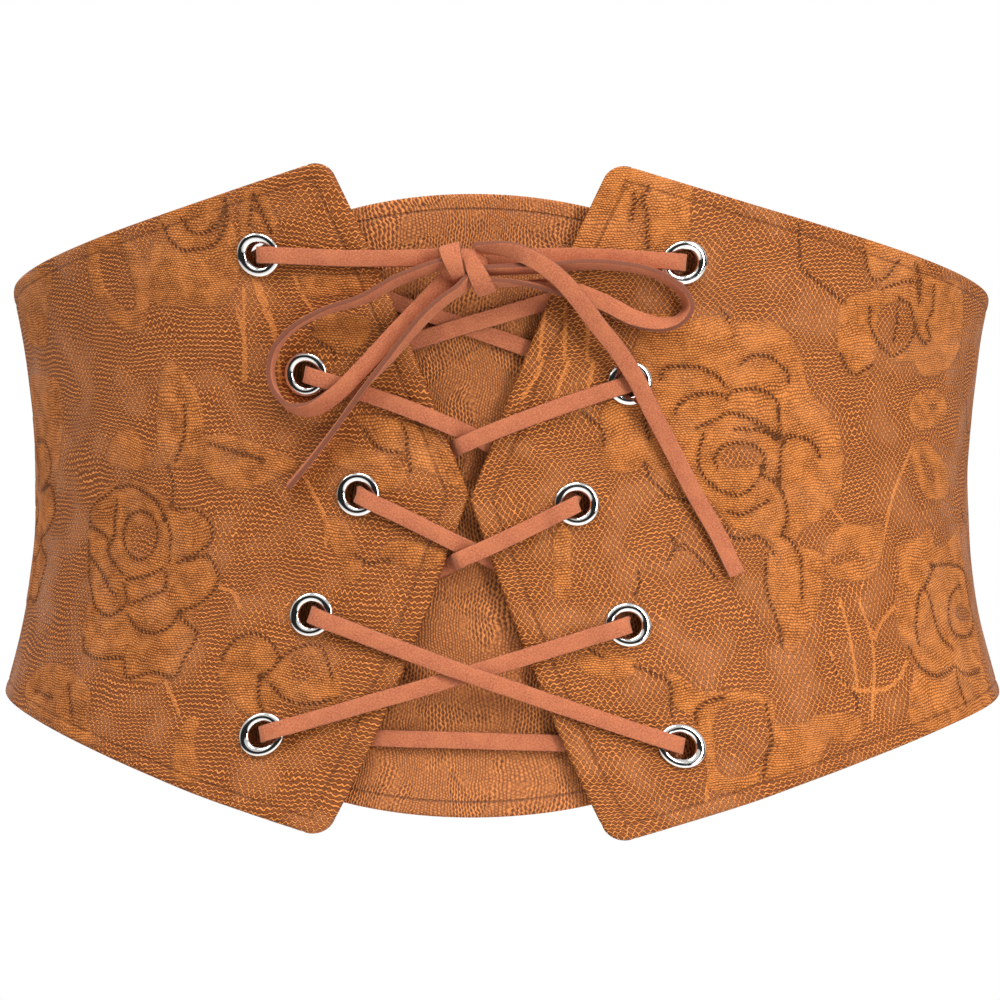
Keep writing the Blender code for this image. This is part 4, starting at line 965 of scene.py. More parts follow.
def build_panel(side, pattern):
    """One front panel of laced leather."""
    piece, index = grid_piece(f"laced_panel_{side}", COLUMNS, ROWS)
    across, up = graded(COLUMNS, 172.0), graded(ROWS, 140.0)
    flat = turned_corners(drawn_to_edges(across[index[:, 0]], up[index[:, 1]]))
    drop = PANEL_DROP[side]
    eyelets = []
    for number in range(1, 6):
        place = eyelet_place(f"{side} {number}") / MM
        eyelets.append((abs(place[0]), place[1] + drop))
    eyelets = np.array(eyelets)
    middles = np.empty(len(piece.data.polygons) * 3)
    set_places(piece, np.column_stack([flat, np.full(len(flat), PANEL_WALL)]))
    piece.data.polygons.foreach_get("center", middles)
    middles = middles.reshape(-1, 3)[:, :2]
    gap = np.linalg.norm(middles[:, None] - eyelets[None], axis=2).min(axis=1)
    delete_faces(piece, gap < HOLE_RADIUS)
    places = get_places(piece)
    for centre in eyelets:
        offset = places[:, :2] - centre
        reach = np.linalg.norm(offset, axis=1)
        near = reach < HOLE_RADIUS + 0.62
        places[near, :2] = centre + offset[near] * (HOLE_RADIUS / reach[near])[:, None]
    set_places(piece, places)
    apply_modifier(piece, "WELD", merge_threshold=0.02)
    apply_modifier(piece, "SOLIDIFY", thickness=PANEL_WALL, offset=-1)

    places = get_places(piece)
    flat = places[:, :2]
    outer = places[:, 2] > PANEL_WALL / 2
    rim = measure_curve(flat, np.vstack([panel_rim(), panel_rim()[:1]]))[0]
    inner_gap = (flat[:, 0] - inner_edge(flat[:, 1])) * 0.935
    edge_gap = np.where(np.abs(inner_gap - rim) < 0.8, rim * HEM / INNER_HEM, rim)
    sign = -1 if side == "left" else 1
    real = np.column_stack([sign * flat[:, 0], flat[:, 1] - drop])
    cloth, holes, threads = lace_distances(real, pattern)
    eyelet_gap = np.linalg.norm(flat[:, None] - eyelets[None], axis=2).min(axis=1)
    calm = smooth_step(eyelet_gap, 5.9, 9.0)
    hem = smooth_step(edge_gap, 0.8, 1.6) * (1 - smooth_step(edge_gap, HEM - 1.2, HEM - 0.3))
    relief = CLOTH_RISE * smooth_step(cloth, -0.3, 0.4) + THREAD_RISE * smooth_step(threads[:, 2], 0.5, 1.0)
    relief -= HOLE_DIP * smooth_step(holes[:, 2], 0.6, 1.0) * (np.abs(holes[:, 0]) < 3)
    relief -= SEAM_DIP * np.exp(-((edge_gap - HEM) / 0.35) ** 2)
    relief += THREAD_RISE * hem
    relief = relief * calm - EYELET_DIP * np.exp(-((eyelet_gap - 6.9) / 1.2) ** 2)
    relief += UNEVEN_RISE * calm * waves(real, 11 if side == "left" else 23, 19.0)
    relief = np.minimum(relief, MOST_RISE) * smooth_step(rim, 0, 1.2)
    round_over = 1.0 - np.sqrt(np.clip(1 - (1 - np.minimum(rim, 1.0)) ** 2, 0, 1))
    places[:, 2] += np.where(outer, relief - 0.92 * round_over, 0.72 * round_over)
    places[:, :2] = real
    set_places(piece, wrap(places * MM))
    if sign < 0:
        select_only(piece)
        bpy.ops.object.mode_set(mode="EDIT")
        bpy.ops.mesh.select_all(action="SELECT")
        bpy.ops.mesh.flip_normals()
        bpy.ops.object.mode_set(mode="OBJECT")
    bpy.ops.object.shade_smooth_by_angle(angle=math.radians(60))
    map_by_points(piece, "flat", real * MM)
    point_attribute(piece, "holes", holes)
    point_attribute(piece, "threads", threads)
    point_attribute(piece, "cloth", np.column_stack([cloth, edge_gap, np.where(outer, 1.0, 0.0)]))
    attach(piece, "root")
    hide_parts(f"front_panel_{side}")
    print(piece.name, len(piece.data.polygons), "faces")
    return piece


panel_left = build_panel("left", LEFT_LACE)
panel_right = build_panel("right", RIGHT_LACE)

# %% [markdown]
# The tongue closes the gap behind the lacing.  It is a softer, ribbed lace with an arched top and bottom
# and a turned hem.  It stands back from the panels where the lace runs, and comes forward to their lining
# at its sides, where it would be sewn.

# %% Build the tongue
TONGUE_HALF = 73.0
TONGUE_TOP, TONGUE_BOTTOM = 75.0, -80.0
ARCH_RADIUS = 118.0
TONGUE_FACE, TONGUE_WALL, EDGE_FACE = -2.7, 1.6, -0.3
TONGUE_HEM = 3.8

tongue, index = grid_piece("ribbed_tongue", 150, 150)
share = graded(150, 150.0)
across = TONGUE_HALF * (2 * share[index[:, 0]] - 1)
drop = ARCH_RADIUS - np.sqrt(ARCH_RADIUS ** 2 - across ** 2)
up = (TONGUE_BOTTOM + drop) + share[index[:, 1]] * (TONGUE_TOP - TONGUE_BOTTOM - 2 * drop)
set_places(tongue, np.column_stack([across, up, np.full(len(up), TONGUE_WALL)]))
apply_modifier(tongue, "SOLIDIFY", thickness=TONGUE_WALL, offset=-1)
places = get_places(tongue)
flat = places[:, :2].copy()
outer = places[:, 2] > TONGUE_WALL / 2
drop = ARCH_RADIUS - np.sqrt(ARCH_RADIUS ** 2 - flat[:, 0] ** 2)
hem_gap = np.minimum(TONGUE_TOP - drop - flat[:, 1], flat[:, 1] - TONGUE_BOTTOM - drop)
rim = np.minimum(hem_gap, TONGUE_HALF - np.abs(flat[:, 0]))
round_over = 0.72 * (1 - np.sqrt(np.clip(1 - (1 - np.clip(rim, 0, 0.8) / 0.8) ** 2, 0, 1)))
step = smooth_step(np.abs(flat[:, 0]), 60.5, 66.5)
relief = -0.2 * np.exp(-((hem_gap - TONGUE_HEM) / 0.4) ** 2) + 0.10 * waves(flat, 5, 24.0)
relief = np.minimum(relief, 0.12) * (1 - step) * smooth_step(rim, 0, 1.2)
places[:, 2] += TONGUE_FACE - TONGUE_WALL + (EDGE_FACE - TONGUE_FACE) * step
places[:, 2] += np.where(outer, relief - round_over, round_over)
set_places(tongue, wrap(places * MM))
bpy.ops.object.shade_smooth_by_angle(angle=math.radians(60))
map_by_points(tongue, "flat", flat * MM)
point_attribute(tongue, "cloth", np.column_stack([np.zeros(len(flat)), hem_gap, np.where(outer, 1.0, 0.0)]))
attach(tongue, "root")
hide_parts("modesty_panel")
print("tongue:", len(tongue.data.polygons), "faces")

# %% [markdown]
# The back is one wide band of elastic, tucked under both panels and sewn through with two rows of
# stitches.  Its ribs run up and down, so that it stretches round the waist, and each rib is a shallow wave
# in the mesh.  The stitches are modelled once and copied along the seam.

# %% Build the elastic back
BAND_WALL = 2.0
BAND_INSET = 1.0
BAND_START, BAND_END = 176.0, 2 * HALF_ROUND / MM - 176.0
BAND_LOW, BAND_HIGH = SIDE_BOTTOM + BAND_INSET, SIDE_TOP - PANEL_DROP["right"] - BAND_INSET
BAND_COLUMNS, BAND_ROWS = 372, 34
RIB_LENGTH = 6 * (BAND_END - BAND_START) / BAND_COLUMNS
RIB_DEPTH = 0.16

band, index = grid_piece("elastic_back", BAND_COLUMNS, BAND_ROWS)
across = BAND_START + index[:, 0] / BAND_COLUMNS * (BAND_END - BAND_START)
up = BAND_LOW + index[:, 1] / BAND_ROWS * (BAND_HIGH - BAND_LOW)
set_places(band, np.column_stack([across, up, np.full(len(up), EDGE_FACE)]))
apply_modifier(band, "SOLIDIFY", thickness=BAND_WALL, offset=-1)
places = get_places(band)
flat = places[:, :2].copy()
outer = places[:, 2] > EDGE_FACE - BAND_WALL / 2
rim = np.minimum(flat[:, 1] - BAND_LOW, BAND_HIGH - flat[:, 1])
end_gap = np.minimum(flat[:, 0] - BAND_START, BAND_END - flat[:, 0])
rib = RIB_DEPTH * (np.cos(flat[:, 0] * 2 * math.pi / RIB_LENGTH) - 1)
rib *= smooth_step(rim, 1.0, 3.0) * smooth_step(end_gap, 12, 14)
places[:, 2] += np.where(outer, rib, -rib)
ease = 0.7 * (1 - smooth_step(rim, -0.4, 1.2))
places[:, 2] += np.where(outer, -ease, ease)
set_places(band, wrap(places * MM))
bpy.ops.object.shade_smooth_by_angle(angle=math.radians(60))
map_by_points(band, "flat", flat * MM)
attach(band, "root")
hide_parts("back_band")
print("elastic back:", len(band.data.polygons), "faces")

# %% [markdown]
# An eyelet is one turned and rolled tube of nickel: a domed flange in front, a barrel through the cloth and
# a roll behind.  Its profile is extruded point by point in edit mode and spun about the barrel's middle.
# One eyelet is modelled, and each of the ten gets its own copy, bent into its place.

# %% Build the eyelets
EYELET_PROFILE = [
    (5.50, 2.32), (5.53, 2.55), (5.45, 2.80), (5.25, 3.00), (4.95, 3.13), (4.55, 3.19), (4.15, 3.18),
    (3.78, 3.07), (3.48, 2.90), (3.27, 2.66), (3.15, 2.35), (3.11, 1.90), (3.10, 0.80), (3.10, -0.15),
    (3.18, -0.50), (3.38, -0.74), (3.72, -0.79), (4.15, -0.68), (4.48, -0.45), (4.45, -0.33),
    (3.42, -0.32), (3.42, 2.31),
]

bpy.ops.object.select_all(action="DESELECT")
bpy.ops.mesh.primitive_plane_add(size=0.001)
eyelet = bpy.context.object
eyelet.name = "eyelet_form"
bpy.ops.object.mode_set(mode="EDIT")
bpy.ops.mesh.select_mode(type="VERT")
bpy.ops.mesh.merge(type="CENTER")
bpy.ops.transform.translate(value=(EYELET_PROFILE[0][0], 0, EYELET_PROFILE[0][1]))
for (x0, z0), (x1, z1) in zip(EYELET_PROFILE, EYELET_PROFILE[1:]):
    bpy.ops.mesh.extrude_vertices_move(TRANSFORM_OT_translate={"value": (x1 - x0, 0, z1 - z0)})
bpy.ops.mesh.select_all(action="SELECT")
bpy.ops.mesh.edge_face_add()
bpy.ops.mesh.delete(type="ONLY_FACE")
bpy.ops.mesh.select_all(action="SELECT")
bpy.ops.mesh.spin(steps=56, angle=2 * math.pi, center=(0, 0, 0), axis=(0, 0, 1))
bpy.ops.mesh.select_all(action="SELECT")
bpy.ops.mesh.remove_doubles(threshold=0.001)
bpy.ops.mesh.normals_make_consistent(inside=False)
bpy.ops.object.mode_set(mode="OBJECT")
eyelet_form = get_places(eyelet)
eyelet_mesh = eyelet.data
eyelets = []
for side in ("left", "right"):
    for number in range(1, 6):
        made = bpy.data.objects.new(f"turned_eyelet_{side}_{number}", eyelet_mesh.copy())
        bpy.context.scene.collection.objects.link(made)
        centre = eyelet_place(f"{side} {number}")
        set_places(made, wrap(eyelet_form * MM + (*centre, 0)))
        select_only(made)
        bpy.ops.object.shade_smooth_by_angle(angle=math.radians(50))
        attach(made, "root")
        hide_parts(f"eyelet_{side}_{number}")
        eyelets.append(made)
bpy.data.objects.remove(eyelet)
print("eyelets:", len(eyelets), "of", len(eyelet_mesh.polygons), "faces")

# %% [markdown]
# The seam's stitches are short threads that dip into the cloth at both ends.  One is modelled from a cube,
# drawn out and rounded, and copied along two lines beside each panel's back edge.

# %% Stitch the back seams
STITCH_SIZE = (0.62, 3.0, 0.62)
STITCH_PITCH = 3.1

bpy.ops.object.select_all(action="DESELECT")
bpy.ops.mesh.primitive_cube_add(size=1)
stitch = bpy.context.object
rounding = stitch.modifiers.new("rounding", "SUBSURF")
rounding.levels = rounding.render_levels = 2
bpy.ops.object.modifier_apply(modifier=rounding.name)
stitch_form = get_places(stitch)
stitch_form[:, 2] -= 0.9 * stitch_form[:, 1] ** 2
stitch_faces = [tuple(face.vertices) for face in stitch.data.polygons]
bpy.data.objects.remove(stitch)


def seam_stitches(side):
    """Two rows of stitches beside a panel's back edge."""
    sign = -1 if side == "left" else 1
    points, faces = [], []
    for across in (SEAM - 3.0, SEAM - 9.5):
        for up in np.arange(SIDE_BOTTOM + 3.0, SIDE_TOP - 3.0, STITCH_PITCH):
            form = stitch_form * STITCH_SIZE + (sign * across, up - PANEL_DROP[side], PANEL_WALL + 0.10)
            faces += [tuple(k + len(points) * len(form) for k in face) for face in stitch_faces]
            points.append(form)
    made = add_mesh(f"seam_stitches_{side}", wrap(np.vstack(points) * MM), faces, smooth_angle=60)
    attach(made, "root")
    return made


stitches = [seam_stitches("left"), seam_stitches("right")]
print("stitches:", sum(len(row.data.polygons) for row in stitches), "faces")

# %% [markdown]
# Finishes come next.  Effects that several materials share are node groups with named inputs, built once.
# A few small helpers keep the node code short.  Each adds one kind of step, such as a sum, a mix of two
# colours or noise, and gives back the socket that the next step starts from.

# %% Node helpers
def wire(tree, made, inputs):
    """Link or set the inputs of a node."""
    for key, value in inputs.items():
        if isinstance(value, bpy.types.NodeSocket):
            tree.links.new(value, made.inputs[key])
        else:
            made.inputs[key].default_value = value


def node(tree, kind, inputs=None, **settings):
    """Add a node, set it up, and wire or set its inputs."""
    made = tree.nodes.new(kind)
    for key, value in settings.items():
        setattr(made, key, value)
    wire(tree, made, inputs or {})
    return made


def calc(tree, operation, *values):
    """One step of arithmetic."""
    return node(tree, "ShaderNodeMath", dict(enumerate(values)), operation=operation).outputs[0]


def times(tree, *values):
    """The product of two or more numbers."""
    made = values[0]
    for value in values[1:]:
        made = calc(tree, "MULTIPLY", made, value)
    return made


def plus(tree, start, *terms):
    """A number with others added, each a value and the share of it that counts."""
    for value, share in terms:
        start = calc(tree, "MULTIPLY_ADD", value, share, start)
    return start


def rest_of(tree, value):
    """What the value leaves of 1."""
    return calc(tree, "SUBTRACT", 1.0, value)


def blend(tree, share, first, second):
    """A number that goes from first to second as the share grows."""
    return calc(tree, "ADD", times(tree, first, rest_of(tree, share)), times(tree, second, share))


def vector_calc(tree, operation, *values, **named):
    """One step of arithmetic on three numbers at once."""
    inputs = {**dict(enumerate(values)), **named}
    return node(tree, "ShaderNodeVectorMath", inputs, operation=operation).outputs[0]


def in_millimetres(tree, place):
    """A place in metres, given in millimetres."""
    return vector_calc(tree, "SCALE", place, Scale=1 / MM)


def parts(tree, vector):
    """The three numbers of a vector."""
    return node(tree, "ShaderNodeSeparateXYZ", {0: vector}).outputs


def kept(tree, name):
    """The three numbers kept on the mesh under a name."""
    return parts(tree, node(tree, "ShaderNodeAttribute", attribute_name=name).outputs["Vector"])


def noise(tree, place, scale, detail, output="Fac", **more):
    """Noise at a place, as one number or as a colour."""
    inputs = {"Vector": place, "Scale": scale, "Detail": detail, **more}
    return node(tree, "ShaderNodeTexNoise", inputs).outputs[output]


def ramp(tree, value, low, high, start=0.0, end=1.0):
    """A smooth change from start to end as the value goes from low to high."""
    made = node(tree, "ShaderNodeMapRange", {
        "Value": value, "From Min": low, "From Max": high, "To Min": start, "To Max": end},
        interpolation_type="SMOOTHSTEP")
    return made.outputs["Result"]


def mixed(tree, share, first, second):
    """Two colours mixed."""
    return node(tree, "ShaderNodeMix", {0: share, 6: first, 7: second}, data_type="RGBA").outputs[2]


def new_group(name, inputs, outputs):
    """A node group with named inputs and outputs."""
    group = bpy.data.node_groups.new(name, "ShaderNodeTree")
    for socket_name, kind, value in inputs:
        socket = group.interface.new_socket(name=socket_name, in_out="INPUT", socket_type=kind)
        if value is not None:
            socket.default_value = value
    for socket_name, kind in outputs:
        group.interface.new_socket(name=socket_name, in_out="OUTPUT", socket_type=kind)
    start = group.nodes.new("NodeGroupInput")
    end = group.nodes.new("NodeGroupOutput")
    return group, start.outputs, end


def use_group(tree, group, inputs):
    """Place a group in a material."""
    return node(tree, "ShaderNodeGroup", inputs, node_tree=group).outputs


def raise_surface(tree, shader, height, strength):
    """Bump the surface by a height in millimetres."""
    bump = node(tree, "ShaderNodeBump", {"Height": height, "Strength": strength, "Distance": MM})
    wire(tree, shader, {"Normal": bump.outputs[0]})


def new_material(name):
    """A material with one Principled shader, and its parts."""
    made = bpy.data.materials.new(name)
    made.use_nodes = True
    return made, made.node_tree, made.node_tree.nodes["Principled BSDF"]


FLOAT, VECTOR = "NodeSocketFloat", "NodeSocketVector"

# %% [markdown]
# The net is the lace's open ground.  Its threads lie in rows, each a wave, and each row's wave is set half
# a length on from its neighbour's.  A low wave gives the rippled lines of the left panel.  A high wave
# brings neighbours together, and the same rule then gives the small six-sided cells of the right panel.

# %% The net group
net, given, result = new_group(
    "net threads",
    [("Place", VECTOR, None), ("Row", FLOAT, 1.35), ("Wave", FLOAT, 1.3), ("Height", FLOAT, 0.3),
     ("Thread", FLOAT, 0.2)],
    [("Thread", FLOAT), ("Bump", FLOAT), ("Shade", FLOAT)])
tree = net
apart = parts(tree, given["Place"])
row_place = calc(tree, "DIVIDE", apart[1], given["Row"])
row = calc(tree, "FLOOR", row_place)
within = calc(tree, "SUBTRACT", row_place, row)
turn = times(tree, calc(tree, "DIVIDE", apart[0], given["Wave"]), 2 * math.pi)
turn = calc(tree, "ADD", turn, times(tree, row, math.pi))
wave = times(tree, calc(tree, "SINE", turn), given["Height"])
below = calc(tree, "ABSOLUTE", calc(tree, "SUBTRACT", within, wave))
above = calc(tree, "ABSOLUTE", calc(tree, "SUBTRACT", rest_of(tree, wave), within))
away = times(tree, calc(tree, "MINIMUM", below, above), given["Row"])
scaled = calc(tree, "DIVIDE", away, given["Thread"])
rounded = calc(tree, "SQRT", calc(tree, "MAXIMUM", rest_of(tree, times(tree, scaled, scaled)), 0.0))
# Shade is a painted shadow mask, high beside each thread, for darkening the leather there.
wire(tree, result, {
    "Thread": ramp(tree, scaled, 1.3, 0.7), "Shade": ramp(tree, scaled, 3.0, 1.2), "Bump": rounded})

# %% [markdown]
# Clothwork is the close part of the lace: tight rows of small stitches, offset like bricks.

# %% The clothwork group
clothwork, given, result = new_group(
    "clothwork", [("Place", VECTOR, None), ("Row", FLOAT, 0.66), ("Stitch", FLOAT, 0.8)],
    [("Weave", FLOAT)])
tree = clothwork
apart = parts(tree, given["Place"])
row_place = calc(tree, "DIVIDE", apart[1], given["Row"])
row = calc(tree, "FLOOR", row_place)
crest = calc(tree, "ABSOLUTE", calc(tree, "SINE", times(tree, row_place, math.pi)))
turn = times(tree, calc(tree, "DIVIDE", apart[0], given["Stitch"]), 2 * math.pi)
turn = calc(tree, "ADD", turn, times(tree, row, math.pi))
dots = calc(tree, "MULTIPLY_ADD", calc(tree, "SINE", turn), 0.32, 0.68)
wire(tree, result, {"Weave": times(tree, crest, dots)})

# %% [markdown]
# No cloth is perfectly straight.  This group takes a flat place in metres and gives it in millimetres,
# turned a little and pulled about by slow noise, so that rows fan and bunch as stretched lace does.

# %% The slack group
slack, given, result = new_group(
    "slack cloth", [("Place", VECTOR, None), ("Pull", FLOAT, 2.0), ("Turn", FLOAT, 0.0)],
    [("Place", VECTOR)])
tree = slack
scaled = in_millimetres(tree, given["Place"])
turned = node(
    tree, "ShaderNodeVectorRotate", {"Vector": scaled, "Angle": given["Turn"]},
    rotation_type="Z_AXIS").outputs[0]
slow = noise(tree, scaled, 0.035, 1.0, "Color")
middle = noise(tree, scaled, 0.13, 1.0, "Color")
quick = noise(tree, scaled, 0.45, 2.0, "Color")
slow_pull = vector_calc(tree, "SUBTRACT", slow, (0.5, 0.5, 0.5))
slow_pull = vector_calc(tree, "MULTIPLY", slow_pull, (4.0, 9.0, 0.0))
slow_pull = vector_calc(tree, "SCALE", slow_pull, Scale=given["Pull"])
small_pull = vector_calc(tree, "MULTIPLY_ADD", middle, (1.8, 1.8, 1.8), quick)
small_pull = vector_calc(tree, "SUBTRACT", small_pull, (1.4, 1.4, 1.4))
small_pull = vector_calc(tree, "MULTIPLY", small_pull, (1.2, 1.0, 0.0))
moved = vector_calc(tree, "ADD", vector_calc(tree, "ADD", turned, slow_pull), small_pull)
wire(tree, result, {"Place": moved})

# %% [markdown]
# Lace over leather.  The leather is smooth and catches the light between the threads, and the threads are
# matt and a little lighter.  Areas of net and of clothwork come from the distances kept on the mesh, and
# so do the rows of holes, whose even spacing is a wave along each curve.  The same mesh keeps which faces
# look outward, and the inner ones get a plain woven lining.
# Some light and shade is painted into the colour: a highlight on the leather, and shade beside the threads,
# in the holes, along the clothwork's borders, near the rows of holes and in the hem's groove.  The left
# panel's clothwork is painted darker than the right's, as shade.

# %% Lace over leather
def lace_over_leather(name, row_pitch, wave_length, wave_height, turn, folds, painted_side_light):
    """The finish of one panel, with its own net, its own depth of folds and its own painted side light."""
    made, tree, shader = new_material(name)
    flat = node(tree, "ShaderNodeUVMap", uv_map="flat").outputs[0]
    place = use_group(tree, slack, {"Place": flat, "Pull": 1.0, "Turn": turn})["Place"]
    cloth = kept(tree, "cloth")
    holes = kept(tree, "holes")
    threads = kept(tree, "threads")
    ragged = noise(tree, place, 0.9, 2.0)
    patchy = noise(tree, place, 0.06, 3.0)

    depth = calc(tree, "ADD", cloth[0], calc(tree, "MULTIPLY_ADD", ragged, 2.6, -1.3))
    thick = ramp(tree, depth, -0.8, 0.6)
    stretch = noise(tree, place, 0.075, 1.0)
    tall = ramp(tree, stretch, 0.36, 0.64, wave_height * 0.55, wave_height * 1.2)
    net_out = use_group(tree, net, {
        "Place": place, "Row": row_pitch, "Wave": wave_length, "Height": tall, "Thread": 0.16})
    weave = use_group(tree, clothwork, {"Place": place})["Weave"]
    petal = noise(tree, place, 0.22, 3.0)

    uneven = noise(tree, place, 0.5, 1.0)
    beside = calc(tree, "MULTIPLY_ADD", uneven, 1.1, -0.55)
    beside = ramp(tree, calc(tree, "ADD", calc(tree, "ABSOLUTE", holes[0]), beside), 0.62, 0.30)
    slant = calc(tree, "MULTIPLY_ADD", holes[0], 0.7, holes[1])
    slant = calc(tree, "MULTIPLY_ADD", ragged, 1.0, slant)
    spaced = calc(tree, "SINE", times(tree, slant, 2 * math.pi / 1.3))
    spaced = ramp(tree, spaced, -0.3, 0.4)
    near = times(tree, ramp(tree, holes[2], 0.45, 0.6), ramp(tree, uneven, 0.26, 0.46, 0.4, 1.0))
    hole = times(tree, beside, spaced, near)
    # Painted shadow: a dark line along the edge of each clothwork area, which also dips the bump.
    border_shadow = calc(tree, "ABSOLUTE", calc(tree, "ADD", depth, 0.35))
    border_shadow = times(tree, ramp(tree, border_shadow, 0.45, 0.1), ramp(tree, ragged, 0.46, 0.56))
    drawn = calc(tree, "MULTIPLY_ADD", uneven, 1.2, -0.6)
    drawn = calc(tree, "ADD", calc(tree, "ABSOLUTE", threads[0]), drawn)
    cord_thread = times(tree, ramp(tree, drawn, 0.62, 0.34), ramp(tree, threads[2], 0.3, 0.5))
    narrow = times(tree, cord_thread, calc(tree, "MULTIPLY_ADD", weave, 0.4, 0.3))
    open_net = calc(tree, "MAXIMUM", net_out["Thread"], narrow)
    loose = noise(tree, place, 1.3, 1.0)
    # Painted shade: the clothwork's cover is scaled per panel, less on the left and more on the right, so
    # that the left panel's clothwork is darker as if in shade.
    close = times(tree, weave, painted_side_light, ramp(tree, loose, 0.3, 0.62, 0.6, 1.15))
    close = calc(tree, "ADD", close, ramp(tree, petal, 0.3, 0.7, -0.12, 0.22))
    # Painted shade: the clothwork's threads thin out beside each row of holes, so that the darker leather
    # shows there as shade.
    hole_shade = times(tree, ramp(tree, calc(tree, "ABSOLUTE", holes[0]), 2.2, 0.5),
                ramp(tree, holes[2], 0.0, 0.5))
    close = times(tree, close, calc(tree, "MULTIPLY_ADD", hole_shade, -0.3, 1.0))
    cover = blend(tree, thick, open_net, close)
    shaded_gaps = calc(tree, "MAXIMUM", hole, times(tree, border_shadow, 0.4))
    cover = times(tree, cover, rest_of(tree, hole))
    groove = ramp(tree, calc(tree, "ABSOLUTE", calc(tree, "SUBTRACT", cloth[1], HEM)), 0.42, 0.1)
    groove = times(tree, groove, ramp(tree, uneven, 0.3, 0.6, 0.35, 1.0))

    leather = mixed(tree, patchy, (0.150, 0.037, 0.007, 1), (0.250, 0.070, 0.015, 1))
    # Painted highlight: where the slow noise is high, the leather's colour is lightened towards a pale tan,
    # as lamp glare; the lower roughness there is real gloss.
    leather = mixed(tree, ramp(tree, stretch, 0.5, 0.68, 0.0, 0.5), leather, (0.400, 0.142, 0.050, 1))
    # Painted shadow: the leather is darkened beside each net thread, as the thread's cast shadow.
    leather = mixed(tree, times(tree, net_out["Shade"], 0.55), leather, (0.060, 0.014, 0.003, 1))
    thread_colour = mixed(tree, patchy, (0.620, 0.196, 0.040, 1), (0.830, 0.290, 0.072, 1))
    colour = mixed(tree, cover, leather, thread_colour)
    # Painted shade: the holes and the clothwork's borders are darkened.  The holes are real openings, where
    # the cover thins and the bump dips.
    colour = mixed(tree, times(tree, shaded_gaps, 0.8), colour, (0.070, 0.019, 0.006, 1))
    # Painted shade: the hem's groove is darkened; the groove itself is a real dip in the mesh and the bump.
    colour = mixed(tree, times(tree, groove, 0.6), colour, (0.120, 0.033, 0.010, 1))
    outside = ramp(tree, cloth[2], 0.3, 0.7)
    lining = mixed(tree, weave, (0.215, 0.072, 0.026, 1), (0.330, 0.118, 0.044, 1))
    colour = mixed(tree, outside, lining, colour)
    polished = ramp(tree, stretch, 0.42, 0.64, 0.54, 0.27)
    gloss = calc(tree, "ADD", polished, times(tree, calc(tree, "MAXIMUM", cover, thick), 0.34))
    gloss = calc(tree, "MAXIMUM", gloss, ramp(tree, cloth[2], 0.3, 0.7, 0.85, 0.0))
    wire(tree, shader, {
        "Base Color": colour, "Roughness": gloss, "Specular IOR Level": 0.28,
        "Specular Tint": (1.0, 0.80, 0.66, 1)})

    grain = noise(tree, place, 2.2, 3.0)
    raised = calc(tree, "MAXIMUM", times(tree, net_out["Bump"], rest_of(tree, thick)), cord_thread)
    stitched = times(tree, calc(tree, "MULTIPLY_ADD", weave, 0.16, 0.12), thick)
    height = plus(
        tree, stitched, (raised, 0.16), (grain, 0.08), (petal, 0.55), (stretch, folds), (shaded_gaps, -0.25),
        (groove, -0.25))
    raise_surface(tree, shader, plus(tree, times(tree, height, outside), (weave, 0.12)), 0.9)
    return made


# The last number paints side light: the left panel's clothwork is made darker than the right's, as shade.
left_finish = lace_over_leather("lace_over_leather_left", 1.15, 1.4, 0.25, math.radians(4), 1.2, 0.9)
right_finish = lace_over_leather("lace_over_leather_right", 1.0, 1.4, 0.34, math.radians(-7), 2.4, 1.2)
panel_left.data.materials.append(left_finish)
panel_right.data.materials.append(right_finish)

# %% [markdown]
# The tongue's lace is knitted in fine ribs that run up and down, crossed by slanting stitches, with closer
# patches where a flower is worked.  It is matt all over.

# %% Ribbed lace
def ribbed_lace():
    """The finish of the tongue."""
    made, tree, shader = new_material("ribbed_lace_cloth")
    flat = node(tree, "ShaderNodeUVMap", uv_map="flat").outputs[0]
    place = use_group(tree, slack, {"Place": flat, "Pull": 1.3, "Turn": math.radians(90)})["Place"]
    cloth = kept(tree, "cloth")
    patches = noise(tree, place, 0.085, 1.5, Distortion=0.6)
    thick = ramp(tree, patches, 0.44, 0.60)
    outline = ramp(tree, calc(tree, "ABSOLUTE", calc(tree, "SUBTRACT", patches, 0.47)), 0.030, 0.006)
    ribs = use_group(tree, net, {"Place": place, "Row": 0.8, "Wave": 1.3, "Height": 0.14, "Thread": 0.23})
    weave = use_group(tree, clothwork, {"Place": place, "Row": 0.7, "Stitch": 0.8})["Weave"]
    speckle = noise(tree, place, 1.3, 2.0)
    cover = blend(tree, thick, ribs["Thread"], calc(tree, "MULTIPLY_ADD", weave, 0.85, 0.05))
    cover = times(tree, cover, ramp(tree, speckle, 0.34, 0.6, 0.55, 1.1))
    holes = times(tree, outline, ramp(tree, speckle, 0.50, 0.58))
    groove = ramp(tree, calc(tree, "ABSOLUTE", calc(tree, "SUBTRACT", cloth[1], TONGUE_HEM)), 0.45, 0.1)
    colour = mixed(tree, cover, (0.180, 0.046, 0.010, 1), (0.730, 0.244, 0.055, 1))
    # Painted shade: the holes along the patches' outlines are darkened; they also dip in the bump.
    colour = mixed(tree, times(tree, holes, 0.35), colour, (0.080, 0.020, 0.006, 1))
    # Painted shade: the hem's groove is darkened; it also dips in the mesh and the bump.
    colour = mixed(tree, times(tree, groove, 0.5), colour, (0.110, 0.030, 0.009, 1))
    wire(tree, shader, {"Base Color": colour, "Roughness": 0.78})
    raised = times(tree, ribs["Bump"], rest_of(tree, thick))
    stitched = times(tree, calc(tree, "MULTIPLY_ADD", weave, 0.2, 0.12), thick)
    height = plus(tree, stitched, (raised, 0.28), (holes, -0.3), (groove, -0.3))
    raise_surface(tree, shader, height, 0.9)
    return made


tongue.data.materials.append(ribbed_lace())

# %% [markdown]
# Suede has a short nap.  Its faces are a warm tan, flecked where the nap lies one way or the other, and its
# cut edges are darker.  Sheen on the shader lights the nap where the strip turns away.

